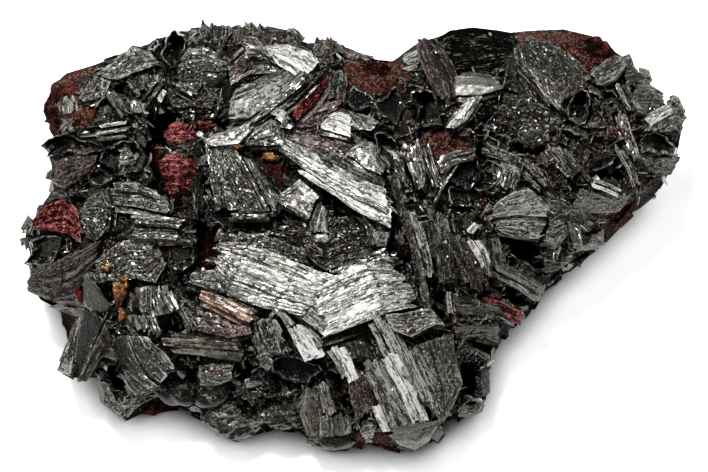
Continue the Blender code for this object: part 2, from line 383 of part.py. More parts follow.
    ("tier rust", 3.6, 0, 6, 5,
     [(-34.6, -0.6), (-30, -0.5), (-28.2, -0.8)], [(-34.6, -1.8), (-30, -1.6), (-28.4, -2)]),
    ("left druse", 3, -4, 0, 5,
     [(-48, 6.4), (-45, 8), (-43.6, 5)], [(-48.4, 1.2), (-46, -1.2), (-43.8, 1)]),
    ("cup scoop", 1.4, -6, 4, 3,
     [(-42.4, 15.4), (-39.8, 16.4)], [(-41.6, 12.4), (-38.8, 12.6)]),
    ("tongue 1", 4.2, -8, 2, 4,
     [(-42.7, -18), (-41.6, -21.6), (-39.6, -24.8), (-37, -27)],
     [(-40.6, -17.7), (-39.2, -21.4), (-37.4, -25), (-35.6, -26.6)]),
    ("tongue 2", 4.8, 6, 2, 4,
     [(-40.3, -17.7), (-38.5, -21.6), (-36.6, -25.4), (-35, -26.1)],
     [(-36.4, -19.4), (-34.4, -21.6), (-33.4, -24.4), (-34, -25.8)]),
    ("tongue 3", 2.8, -4, 2, 4,
     [(-41.2, -23), (-39.5, -26.2), (-38, -28)], [(-38.2, -25), (-36.8, -27.1), (-34.4, -27)]),
    ("skirt druse", 1.8, -6, -8, 4,
     [(-45.2, -25.2), (-44.8, -29.8), (-41, -32.4)], [(-43.6, -26.2), (-42, -29.4), (-39, -30.6)]),
    ("skirt druse 2", 1.6, 0, -10, 4,
     [(-41.6, -29.2), (-38.4, -28.2), (-34.4, -27.4)], [(-40.4, -32.6), (-39, -30.8), (-36, -29)]),
    ("knob block", 3.6, 0, -8, 5,
     [(-28, -23), (-25.4, -22.4), (-21.2, -22.8)], [(-27.4, -26), (-24, -26.2), (-21.6, -25.4)]),
]

# open crystals, which are hollow boxes: name, lift of the rim, depth, how the floor shifts, the mouth
OPEN_CRYSTALS = [
    ("left pocket", 2.2, 6, (1, 2),
     [(-55.6, 16), (-53.6, 17.9), (-50, 17.8), (-46.6, 16.6), (-45, 15), (-48, 14.8), (-54.4, 14.7)]),
    ("cup", 3, 6, (0, 1),
     [(-44.8, 13.2), (-43.6, 15.5), (-41, 16.7), (-38.2, 16), (-37.4, 13.8), (-38.6, 11.8), (-42.4, 11.6)]),
    ("small rust mouth", 3, 3, (0, 1),
     [(-47.2, 10.4), (-44.8, 11.6), (-42.4, 10.2), (-44.6, 9.4)]),
    ("top throat", 2.4, 9, (1, 2),
     [(-34.2, 35), (-32, 37.2), (-30.7, 35.6), (-30.3, 33.4), (-31.5, 31), (-32.7, 30.2), (-33.9, 31.6)]),
    ("eye", 2, 3, (0, 1),
     [(-37.5, 34.2), (-36, 34.9), (-35, 34), (-35.6, 32.9)]),
    ("orange window", 3.4, 5, (0, 2),
     [(-18.6, 15.1), (-14, 15.4), (-12, 13.6), (-9.6, 11), (-13, 8.2), (-16.4, 11.4)]),
    ("long throat", 4, 9, (0, 3),
     [(3.7, 17.5), (7, 17.6), (8.4, 13.2), (10.6, 8.6), (9.4, 8), (6, 12)]),
    ("square throat", 3.2, 9, (1, 2),
     [(10.3, 25.5), (13.8, 25.7), (14.9, 23.6), (15.8, 19.1), (12.8, 19.4), (10.4, 19.3), (11.4, 23)]),
    ("rim cell 1", 3.2, 4, (0, 1),
     [(0, 25.8), (3.6, 24), (3.7, 22.8), (1.6, 22.4), (-1.2, 23.4)]),
    ("rim cell 2", 3.4, 3.5, (0, 1),
     [(4.2, 23.8), (5.6, 24.9), (6.1, 26.2), (7, 26.8), (9.3, 22.9), (8, 20.4), (5, 20.8)]),
    ("tan cell", 2.6, 3, (0, 1),
     [(-4.4, 32.2), (-2.8, 32.6), (-2, 31.4), (-3.4, 30.8)]),
    ("right throat", 3, 9, (0, 2),
     [(38.9, 25.4), (41.1, 25.9), (42.2, 23.6), (42.2, 21.6), (41.4, 20.2), (38.2, 20.2), (38.4, 22.6)]),
    ("right eye", 2.8, 5, (0, 1),
     [(44.4, 26), (46, 25.8), (46.5, 24.4), (45.4, 23.2), (44.4, 24)]),
    ("right mouth", 2.6, 7, (0, 2),
     [(50.6, 17), (53.6, 18.8), (55.6, 17.9), (58, 16.2), (57.4, 14.8), (54, 14.2), (51.4, 15.2)]),
    ("brown cell 1", 2.6, 3.5, (0, 1),
     [(42.6, 18), (44.4, 17.4), (44.2, 15.6), (42.4, 15.8)]),
    ("brown cell 2", 2.6, 3, (0, 1),
     [(36.6, 17.4), (38, 17), (37.8, 15.8), (36.6, 16)]),
    ("shell mouth", 3.4, 7, (1, 2),
     [(18.6, 13), (21.7, 13.2), (22, 10.4), (20.8, 8.2), (18.6, 9.4), (17, 10.6)]),
    ("shell mouth low", 3, 6, (0, 1),
     [(16.6, 8), (19.6, 7.6), (20.4, 5.4), (17.4, 5.2)]),
    ("loop", 3.4, 5, (0, 1),
     [(-14.4, -22.2), (-12.4, -21.8), (-9, -21.9), (-6.6, -22.6), (-5.6, -24), (-7.6, -25.6),
      (-11, -25.8), (-13.8, -24.4)]),
    ("left gape", 2.2, 6, (1, 1),
     [(-58.6, -4.6), (-57.5, -1), (-56.2, 0), (-53.4, 0.1), (-52.4, -1), (-53.2, -3.6), (-54, -4.5)]),
    ("foot cell", 3, 3.5, (0, 1),
     [(1, -31.8), (2.8, -30.8), (3.9, -32), (2.2, -32.6), (0.9, -33.8)]),
    ("brown box", 3, 4, (0, 1),
     [(-32.8, -2.4), (-29, -2), (-28.6, -5.6), (-32.4, -5.8)]),
]

# gaps between crystals: name, depth, how the floor shifts, the mouth
PITS = [
    ("left chasm", 6, (0, 2),
     [(-37, 21.6), (-33.2, 23), (-28.8, 21.6), (-31, 20.2), (-33.4, 17), (-35.4, 12.4), (-37.2, 15)]),
    ("mid chasm", 6, (0, 2),
     [(-25.2, 22), (-22.6, 21.4), (-22.2, 18.9), (-24.6, 18.1), (-25.4, 19.6)]),
    ("lath gap", 4, (0, 1),
     [(-43.2, 27.2), (-41, 27.8), (-40.4, 25.4), (-41, 23.8)]),
    ("great pit", 10, (0, 3),
     [(-28.6, 2.6), (-26.4, 3.2), (-24.2, 1.4), (-24.8, -1.6), (-24, -3.6), (-26, -6.2), (-28.4, -6.8),
      (-28.9, -4), (-28.2, -1)]),
    ("under the lath", 6, (0, 2),
     [(-6, 7.6), (-4.4, 7.6), (-2, 5), (0.4, 4.2), (-2.4, 3.2), (-4.4, 3.8), (-5.4, 5)]),
    ("pit by fan", 8, (0, 2),
     [(6.2, -0.8), (8, -1.4), (10, -3.7), (9.7, -5.3), (7.5, -4.7), (5.4, -2.4)]),
    ("slot", 4, (0, 1),
     [(-20.4, 2.2), (-15.2, 2.3), (-15, 1.2), (-19.4, 1)]),
    ("block slit", 4, (0, 1),
     [(-28, 8.6), (-25.6, 10.4), (-25.2, 7.4), (-27.4, 6.6)]),
    ("tall gap", 7, (0, 1),
     [(14, -8), (15.6, -9.6), (16, -14.4), (14.8, -15.2), (13.9, -12.8)]),
    ("tier cave", 7, (0, 2),
     [(25.4, 0.2), (31, -1), (33, -2.8), (33.6, -5.4), (31.4, -5.6), (28.4, -3.9), (26, -1.4)]),
    ("ledge cave", 6, (0, 3),
     [(24.4, -8.2), (29, -10), (31.4, -12.6), (27, -11.8), (24, -10)]),
    ("front slot", 9, (0, 2),
     [(-3.4, -22.4), (-2.3, -24.2), (-1.6, -27.2), (-0.4, -30.8), (-1.8, -31.4), (-3.4, -28.4),
      (-4.5, -24.6)]),
    ("cave mouth", 7, (0, 2),
     [(-30.8, -21), (-20, -22.5), (-17.8, -23), (-18.2, -26), (-20.6, -27.4), (-21, -24), (-24, -21.9)]),
    ("wing cave", 5, (0, 2),
     [(-46, -22.9), (-42.2, -22.6), (-40.8, -25.4), (-39.8, -27.4), (-43, -27.6), (-44.6, -25)]),
    ("toe hollow", 6, (0, 2),
     [(18.9, -22.6), (20.8, -22.4), (21.6, -26.4), (21, -29.6), (19, -29.8)]),
    ("tier slot 1", 5, (0, 1),
     [(20.8, -18.6), (25, -19.8), (24.6, -21), (21.2, -19.8)]),
    ("dark furrow", 4.5, (0, 1),
     [(42.4, 12.2), (47.4, 12.4), (48, 10.4), (45, 9.8), (42.2, 10.6)]),
    ("scallop slot", 4.5, (0, 1),
     [(28.8, 16.6), (31, 15.6), (34, 15.9), (32.6, 14.4), (29.4, 14.6)]),
    ("blade gap", 5, (0, 1),
     [(22.4, 18.6), (23.4, 16.6), (23.2, 13.4), (21.8, 13.8)]),
    ("hook channel", 5, (0, 1),
     [(-13.2, -14.6), (-12.4, -15), (-10.2, -20.4), (-11.4, -20.8)]),
    ("flower gap", 4, (0, 1),
     [(-49.8, 6.8), (-48, 7.6), (-47.6, 5.4), (-49.4, 4.6)]),
    ("bed slot", 3.5, (0, 1),
     [(-14.2, -1.6), (-12, -1.8), (-12, -3), (-13.6, -2.8)]),
    ("hook void", 4, (0, 1),
     [(-17.6, -18.2), (-16.4, -18.4), (-15.6, -20.6), (-16.8, -20.2)]),
    ("under shelf", 5, (0, 1),
     [(-36.6, -14.2), (-31.6, -14.6), (-29, -16.6), (-33.4, -17.6), (-34.2, -16)]),
]

# rough lumps: name, across, up, two radii, lift
LUMPS = [
    ("red lump 1", -31, 18.2, 2.3, 1.9, 1),
    ("red lump 2", -30.4, 12.4, 4.3, 2.2, 2.2),
    ("red lump 3", -30.6, 9.2, 3.2, 1.2, 2.2),
    ("crimson knuckle", -26.8, 19.6, 1.8, 1.1, 2.6),
    ("dark knob", -31, -27, 3.6, 3.4, 2.6),
    ("dark knob 2", -25.4, -27.6, 3.4, 2.6, 2),
    ("green lump", -21.6, -32, 6, 3.6, 1.2),
    ("green lump 2", -13, -31, 5.4, 2.9, 1.2),
    ("base lump", -4, -36, 4.4, 1.9, 0.6),
]

STONE_COLOUR = (0.11, 0.058, 0.04)
CRYSTAL_COLOUR = (0.13, 0.125, 0.115)


def share(at):
    """How far a place is from the middle, as a share of the way to the outline."""
    x, y = at
    if math.hypot(x, y) < 1e-6:
        return 0.0
    for (ax, ay), (bx, by) in zip(OUTLINE, OUTLINE[1:] + OUTLINE[:1]):
        dx, dy = bx - ax, by - ay
        det = dx * y - x * dy
        if abs(det) < 1e-9:
            continue
        reach = (dx * ay - ax * dy) / det
        along = (x * ay - y * ax) / det
        if reach > 0 and -1e-9 <= along <= 1 + 1e-9:
            return 1 / reach
    return 1.0


def rim(at):
    """The rim's height over the display face."""
    return RIM_OUT + RIM_LEAN * at[1]


def dome(at):
    """The crust's smooth outer surface over the display face."""
    part = share(at)
    if part >= 1:
        return rim(at) - 1.2 * (part - 1) * math.hypot(*at)
    out = rim(at) + CROWN * (1 - part ** 2.4) ** 0.55
    for x, y, reach, rise in SWELLS:
        out += rise * math.exp(-((at[0] - x) ** 2 + (at[1] - y) ** 2) / reach ** 2)
    return out


def slope(at, step=1.5, steepest=0.7):
    """The dome's fall across and up at a place."""
    x, y = at
    across = (dome((x + step, y)) - dome((x - step, y))) / (2 * step)
    up = (dome((x, y + step)) - dome((x, y - step))) / (2 * step)
    return (max(-steepest, min(steepest, across)), max(-steepest, min(steepest, up)))


def world(x, y, out):
    """A place on the display face, in metres in the part's own frame."""
    return MM * Vector((PLANE_AT[0] + x,
                        PLANE_AT[1] + y * math.sin(LEAN) - out * math.cos(LEAN),
                        PLANE_AT[2] + y * math.cos(LEAN) + out * math.sin(LEAN)))


def middle(points):
    return tuple(sum(p[i] for p in points) / len(points) for i in (0, 1))


def counter_clockwise(points):
    turn = sum(a[0] * b[1] - b[0] * a[1] for a, b in zip(points, points[1:] + points[:1]))
    return list(points) if turn > 0 else list(reversed(points))


def grown(points, share_of, shift=(0, 0)):
    """The points scaled about their middle and moved."""
    mx, my = middle(points)
    return [(mx + (x - mx) * share_of + shift[0], my + (y - my) * share_of + shift[1])
            for x, y in points]


def column(mesh, top, bottom):
    """A closed column between two rings of (across, up, out) places, anticlockwise from outside."""
    upper = [mesh.verts.new(world(*p)) for p in top]
    lower = [mesh.verts.new(world(*p)) for p in bottom]
    mesh.faces.new(upper)
    mesh.faces.new(reversed(lower))
    band(mesh, upper, lower)


def band(mesh, near, far):
    """Triangles between two closed rings, where one may have half the points of the other."""
    if len(near) == len(far):
        for i, vert in enumerate(near):
            mesh.faces.new((near[i - 1], far[i], vert))
            mesh.faces.new((near[i - 1], far[i - 1], far[i]))
        return
    many, few, turn = (near, far, 1) if len(near) > len(far) else (far, near, -1)
    for i, vert in enumerate(few):
        follow = few[(i + 1) % len(few)]
        first, second, third = many[2 * i], many[2 * i + 1], many[(2 * i + 2) % len(many)]
        for face in ((first, vert, second), (vert, follow, second), (second, follow, third)):
            mesh.faces.new(face[::turn])


def plane_over(at, lift, across=0.0, up=0.0):
    """The height of a flat face that lies over the dome at a place and tilts by two angles."""
    fall = slope(at)
    gx = fall[0] + math.tan(math.radians(across))
    gy = fall[1] + math.tan(math.radians(up))
    height = dome(at) + lift
    return lambda p: height + gx * (p[0] - at[0]) + gy * (p[1] - at[1])


def add_blade(mesh, one_edge, other_edge, lift, across, up, deep, pick):
    """A flat-faced crystal between two edges, sunk into the crust."""
    outline = [(x + pick.uniform(-LOOSE, LOOSE), y + pick.uniform(-LOOSE, LOOSE))
               for x, y in counter_clockwise(one_edge + other_edge[::-1])]
    at = middle(outline)
    face = plane_over(at, lift, across, up)
    foot = grown(outline, pick.uniform(0.9, 0.98))
    column(mesh, [(*p, face(p)) for p in outline],
           [(*q, face(p) - lift - 0.7 * deep) for p, q in zip(outline, foot)])


def add_wall(mesh, mouth, lift, deep):
    """The closed outside of an open crystal."""
    outline = counter_clockwise(mouth)
    at = middle(outline)
    size = sum(math.dist(p, at) for p in outline) / len(outline)
    outside = grown(outline, 1 + WALL / size)
    face = plane_over(at, lift)
    column(mesh, [(*p, face(p)) for p in outside], [(*p, face(p) - lift - 0.6 * deep) for p in outside])


def add_cut(mesh, mouth, lift, deep, lean, above):
    """The room inside an open crystal or a pit, for cutting."""
    outline = counter_clockwise(mouth)
    at = middle(outline)
    face = plane_over(at, lift)
    floor = grown(outline, 0.72, lean)
    column(mesh, [(*p, face(p) + above) for p in outline],
           [(*q, face(p) - deep) for p, q in zip(outline, floor)])


def add_lump(mesh, at, radii, lift, rough, depth):
    """A rough round lump that stands over the crust by its lift and goes down by its depth."""
    ball = bmesh.new()
    bmesh.ops.create_icosphere(ball, subdivisions=2, radius=1)
    centre = dome(at) + lift - depth
    for v in ball.verts:
        swell = 1 + rough * noise.noise(Vector((at[0], at[1], 0)) + 1.9 * v.co)
        plumb = depth * (1 - v.co.z) / math.tan(LEAN)
        x, y = at[0] + radii[0] * swell * v.co.x, at[1] + radii[1] * swell * v.co.y - plumb
        v.co = world(x, y, centre + depth * swell * v.co.z)
    append(mesh, ball)


def append(mesh, other):
    """Add one open mesh to another, and close the first."""
    twin = {v: mesh.verts.new(v.co) for v in other.verts}
    for face in other.faces:
        mesh.faces.new([twin[v] for v in face.verts])
    other.free()


def loft(mesh, rings, top, bottom):
    """A closed body through rings of places, from the middle of its front to that of its back."""
    rows = [[mesh.verts.new(world(*p)) for p in ring] for ring in rings]
    first, last = mesh.verts.new(world(*top)), mesh.verts.new(world(*bottom))
    for i, vert in enumerate(rows[0]):
        mesh.faces.new((first, vert, rows[0][i - 1]))
    for near, far in zip(rows, rows[1:]):
        band(mesh, near, far)
    for i, vert in enumerate(rows[-1]):
        mesh.faces.new((vert, last, rows[-1][i - 1]))
    bmesh.ops.recalc_face_normals(mesh, faces=mesh.faces)


def rough_ring(points, part, drop, height, rough, seed):
    """A ring of the outline's points drawn in, dropped towards the table and roughened."""
    fall = drop / math.tan(LEAN)
    ring = []
    for x, y in points:
        at = (x * part, y * part)
        push = rough * noise.noise(Vector((at[0], at[1], seed + 3 * drop)) * 0.17)
        ring.append((at[0] + push, at[1] - fall + push, height(at) - drop + 1.6 * push))
    return ring


def make(name, mesh):
    """A new object from an open mesh, its faces made triangles so that all of them are flat."""
    bmesh.ops.triangulate(mesh, faces=[f for f in mesh.faces if len(f.verts) > 3])
    data = bpy.data.meshes.new(name)
    mesh.to_mesh(data)
    mesh.free()
    thing = bpy.data.objects.new(name, data)
    bpy.context.collection.objects.link(thing)
    return thing


def combine(thing, tool, operation):
    """Apply a Boolean to an object and remove its tool. Exact leaves edges with four faces here."""
    step = thing.modifiers.new(operation, "BOOLEAN")
    step.operation, step.object, step.solver = operation, tool, "MANIFOLD"
    bpy.context.view_layer.update()
    result = bpy.data.meshes.new_from_object(thing.evaluated_get(bpy.context.evaluated_depsgraph_get()))
    thing.modifiers.clear()
    thing.data = result
    bpy.data.objects.remove(tool)


def combined(thing, operation, shape, rows):
    """Combine an object with one shape for each row of values."""
    for i, row in enumerate(rows):
        mesh = bmesh.new()
        shape(mesh, *row)
        combine(thing, make(f"tool {i}", mesh), operation)


def keep_largest(thing):
    """Drop crumbs that a cut has left loose."""
    mesh = bmesh.new()
    mesh.from_mesh(thing.data)
    left, pieces = set(mesh.verts), []
    while left:
        piece, edge = set(), [next(iter(left))]
        while edge:
            v = edge.pop()
            if v in piece:
                continue
            piece.add(v)
            edge.extend(e.other_vert(v) for e in v.link_edges)
        left -= piece
        pieces.append(piece)
    pieces.sort(key=len)
    bmesh.ops.delete(mesh, geom=[v for piece in pieces[:-1] for v in piece], context="VERTS")
    bmesh.ops.triangulate(mesh, faces=mesh.faces)
    mesh.to_mesh(thing.data)
    mesh.free()


def thin_out(thing, triangles):
    """Collapse an object's shortest and flattest edges until it has this many triangles."""
    step = thing.modifiers.new("thin out", "DECIMATE")
    step.ratio = min(1.0, triangles / sum(len(face.vertices) - 2 for face in thing.data.polygons))
    step.use_collapse_triangulate = True
    bpy.context.view_layer.update()
    result = bpy.data.meshes.new_from_object(thing.evaluated_get(bpy.context.evaluated_depsgraph_get()))
    thing.modifiers.clear()
    thing.data = result


def finish(thing, colour, roughness):
    """Give an object its material."""
    material = bpy.data.materials.new(thing.name)
    material.use_nodes = True
    shader = material.node_tree.nodes["Principled BSDF"]
    shader.inputs["Base Color"].default_value = (*colour, 1)
    shader.inputs["Roughness"].default_value = roughness
    thing.data.materials.clear()
    thing.data.materials.append(material)


def box(name, low, high):
    """A closed box between two corners in mm."""
    mesh = bmesh.new()
    bmesh.ops.create_cube(mesh, size=1)
    for v in mesh.verts:
        v.co = MM * Vector([low[i] if v.co[i] < 0 else high[i] for i in range(3)])
    return make(name, mesh)


def make_matrix():
    """The brown ironstone: a rough lump with a flat foot, which swells out through the crust."""
    points = [p for i, p in enumerate(OUTLINE) if i % 2 == 0]
    inner = lambda at: dome(at) - CORE_DROP
    rings = [rough_ring(points, CORE_SHARE * part, 0, inner, CORE_ROUGH, SEED) for part in (0.3, 0.62, 0.86)]
    rings += [rough_ring(points, CORE_SHARE * part, drop, rim, BACK_ROUGH, SEED)
              for part, drop in ((1, 3), (1.01, 9), (0.96, 15), (0.98, 20), (0.9, 27), (0.7, 40))]
    mesh = bmesh.new()
    loft(mesh, rings, (0, 0, inner((0, 0))), (0, -18, -45))
    stone = make("matrix", mesh)
    combined(stone, "UNION", add_lump,
             [((x, y), (rx, ry), lift, 0.35, BARE_DEPTH) for x, y, rx, ry, lift in BARE_STONE])
    combine(stone, box("under table", (-90, -90, -90), (90, 90, 0)), "DIFFERENCE")
    keep_largest(stone)
    return stone


def swollen(thing, by):
    """A copy of an object, grown by a small amount all over."""
    mesh = bmesh.new()
    mesh.from_mesh(thing.data)
    mesh.normal_update()
    moves = [(v, v.normal.copy()) for v in mesh.verts]
    for v, normal in moves:
        v.co += normal * by * MM
    return make("swollen " + thing.name, mesh)


def make_crystals(stone):
    """The crust and every crystal grown together on it, as one solid."""
    bed = lambda at: dome(at) - BED_DROP
    few = OUTLINE[::2]
    rings = [rough_ring(few, part, 0, bed, BED_ROUGH, 40 + SEED) for part in (0.2, 0.42, 0.64, 0.81)]
    rings += [rough_ring(points, part, drop, height, 0.5, 40 + SEED)
              for points, part, drop, height in ((OUTLINE, 0.93, 0, bed), (OUTLINE, 1.0, 0, rim),
                                                 (OUTLINE, 0.98, 3.5, rim), (few, 0.8, 9.5, rim),
                                                 (few, 0.4, 10, rim))]
    mesh = bmesh.new()
    loft(mesh, rings, (0, 0, bed((0, 0))), (0, -5, -16))
    crust = make("goethite_crystals", mesh)
    pick = random.Random(SEED)
    combined(crust, "UNION", add_blade, [(one_edge, other_edge, lift, across, up, deep, pick)
                                         for _, lift, across, up, deep, one_edge, other_edge in BLADES])
    combined(crust, "UNION", add_wall, [(mouth, lift, deep) for _, lift, deep, _, mouth in OPEN_CRYSTALS])
    combined(crust, "UNION", add_lump,
             [((x, y), (rx, ry), lift, 0.25, min(rx, ry)) for _, x, y, rx, ry, lift in LUMPS])
    combined(crust, "DIFFERENCE", add_cut,
             [(mouth, lift, deep, lean, 5) for _, lift, deep, lean, mouth in OPEN_CRYSTALS])
    combined(crust, "DIFFERENCE", add_cut, [(mouth, 0, deep, lean, 9) for _, deep, lean, mouth in PITS])
    combine(crust, swollen(stone, GAP), "DIFFERENCE")
    combine(crust, box("under foot", (-90, -90, -90), (90, 90, FOOT)), "DIFFERENCE")
    keep_largest(crust)
    thin_out(crust, CRUST_TRIANGLES)
    return crust


def main():
    for thing in list(bpy.data.objects):
        bpy.data.objects.remove(thing)
    stone = make_matrix()
    crust = make_crystals(stone)
    finish(stone, STONE_COLOUR, 0.85)
    finish(crust, CRYSTAL_COLOUR, 0.45)


main()
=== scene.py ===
"""Goethite pseudomorph: the looks of a crystal specimen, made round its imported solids.

Sizes in the tables are millimetres on the display face, a plane that leans back from the table.
A place on it is (across, up), and `out` is the height above it.
"""
import json
import math
import random
from collections import namedtuple

import bmesh
import bpy
import numpy as np
from bpy.props import FloatProperty, FloatVectorProperty, IntProperty, PointerProperty
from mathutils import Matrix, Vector

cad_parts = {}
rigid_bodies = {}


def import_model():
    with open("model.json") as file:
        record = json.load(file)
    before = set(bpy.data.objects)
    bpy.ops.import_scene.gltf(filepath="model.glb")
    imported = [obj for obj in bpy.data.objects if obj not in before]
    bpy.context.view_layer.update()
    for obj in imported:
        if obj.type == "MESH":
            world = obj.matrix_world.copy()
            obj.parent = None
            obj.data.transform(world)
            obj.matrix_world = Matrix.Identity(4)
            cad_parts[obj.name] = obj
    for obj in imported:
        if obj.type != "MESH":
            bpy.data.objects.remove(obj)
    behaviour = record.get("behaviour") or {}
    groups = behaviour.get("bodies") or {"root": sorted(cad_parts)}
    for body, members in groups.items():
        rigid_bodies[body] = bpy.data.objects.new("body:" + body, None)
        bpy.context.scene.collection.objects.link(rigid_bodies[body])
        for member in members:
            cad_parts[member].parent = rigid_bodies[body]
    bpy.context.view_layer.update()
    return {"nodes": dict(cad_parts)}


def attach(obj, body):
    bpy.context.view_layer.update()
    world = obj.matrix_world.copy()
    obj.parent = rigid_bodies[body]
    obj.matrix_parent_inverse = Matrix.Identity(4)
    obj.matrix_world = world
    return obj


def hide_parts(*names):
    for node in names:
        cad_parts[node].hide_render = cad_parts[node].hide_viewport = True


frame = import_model()

bl_info = {
    "name": "Goethite Pseudomorph",
    "version": (1, 0, 0),
    "blender": (4, 5, 0),
    "location": "3D View > Sidebar > Specimen",
    "description": "Makes a goethite pseudomorph specimen and its studio",
    "category": "Add Mesh",
}

# the display face and the crust over it, as the solids have them
MM = 0.001
LEAN = math.radians(65)          # from the table to the display face's normal
PLANE_AT = (-0.1, -1.6, 20.0)    # where the display face's middle stands over the table, mm
CROWN = 17.0                     # how far the crust's middle stands out past its rim
RIM_OUT = -6.0                   # the rim's height on the display face
RIM_LEAN = -0.16                 # and its fall per mm up the face
BED_DROP = 0.7                   # the bed between crystals, below the plane their lifts count from
PACKED_RISE = 2.0                # and how much higher it stands where the small crystals are packed
FOOT = 0.9                       # the crust ends this far above the table
GROUND = (62, 41)                # the small crystals are laid this far from the middle, across and up
STONE_END = 38                   # right of this the ironstone ends where the crust does
UNDER_COARSE = 1.85              # how much larger the facets of the sheets under a crystal are


def points(numbers):
    """Places from their numbers in a row: across, up, across, up."""
    return list(zip(numbers[::2], numbers[1::2]))


# the crust's outline, clockwise from the middle of the left side
OUTLINE = points([-55.6,16, -52.8,20.2, -55,23.6, -54.6,27, -52,29.4, -47,30.9, -41,33.4, -36,35.2,
    -31.6,37.2, -28,36.8, -22.3,37.6, -17.5,37.4, -12,36.4, -8.5,34.9, -4,35.2, 0,33.6, 3.4,32, 7,31.6,
    11.5,35, 18,36.9, 25,36.4, 31,37.1, 38,37.4, 43,36.2, 48.6,32.4, 52.8,28, 55.8,24, 59.4,21, 58.2,14.5,
    55.4,9, 50,4.8, 44,-1.4, 36.4,-6.2, 33,-11.4, 28,-15.8, 25,-20.4, 23.8,-25, 23.6,-29.4, 20,-31.2,
    16.2,-32.4, 14.5,-36, 9.5,-37.6, 2,-36.8, -4,-37.4, -10,-34.2, -15,-33.6, -21,-35.6, -26.4,-32.4,
    -31,-30, -36,-28.2, -40.6,-32, -44.6,-29.6, -45.4,-24.6, -49.8,-24.4, -51.2,-21, -49.6,-14, -56,-10.8,
    -58.2,-6, -58.6,0, -57,4, -54,9, -54.6,13])

# broad swells and dips of the crust: across, up, reach, rise
SWELLS = [(8, -27, 15, 2.5), (-35, 15, 8, -3), (31, 29, 12, 2), (4, 31, 8, -2.5), (-38, -23, 8, 1.5),
    (0, -1, 6, -1.5), (52, 19, 6, 1.5)]
# broad painted sheen, and with a negative gain painted shade, on the crust: across, up, reach, gain
PAINTED_SHEEN_PLACES = [(-2, -14, 7, 0.6), (-27, -4, 7, -0.35), (-12, -8, 4, 0.2), (-19, -5, 3, 0.2),
    (-22, -10, 5, -0.3), (-17, 24, 6, 0.5), (-22, 18, 5, 0.5), (29, 4.5, 4, 0.6), (22, 33, 8, -0.5),
    (14, -26, 7, 0.3), (8, -26, 6, 0.35), (-9, -19, 4, 0.3), (-45, -18, 9, -0.2), (21.5, -21, 6, -0.7),
    (-6, -0.5, 2, 0.9), (33, 30, 6, -0.35), (21.5, 27.2, 3, -0.55)]
# where the ironstone's brown grains lie open between the crystals
STONE_PLACES = [points(row) for row in (
    [-18.2,14.8, -14,15, -12.3,13.4, -10,11, -13,8.6, -16.2,11.4],
    [26,37, 30,33.5, 34,28.5, 38,25.8, 43,25, 46,28, 51,30, 49,35, 43,39, 32,39],
    [-2,26, 2,25, 9,25.5, 10.5,29, 9,33, 3,35, -2,34],
    [11.5,13.5, 16,12, 20.5,13.5, 20.5,17.8, 16,19, 12,18],
    [-57,20, -47,19, -45,24, -46,31, -52,34, -58,28],
    [44.5,1, 48.5,1, 50.5,5.5, 47.5,6.5, 45,4.5],
    [-9,-39, 9,-39, 10,-34.5, -8,-34.5],
)]
# where the small crystals are packed to a granular face
PACKED_PLACES = [points(row) for row in (
    [20,30, 33,28, 45,24, 59,22, 57,9, 44,0, 36,-5, 28,-1, 22,4, 22,14, 16,20],
    [16,-10, 24,-12, 31,-10, 26,-18, 24,-29, 17,-31, 17,-18],
)]

# the tint of every highlight
SHEEN = (1.0, 0.98, 0.88, 1.0)
# a finish of this lustre or less has no mirror at grazing angles
DULL = 0.15

Look = namedtuple("Look", "dark mid light bias streaks speckle gloss lustre stain "
                          "lath step groove grit ragged")
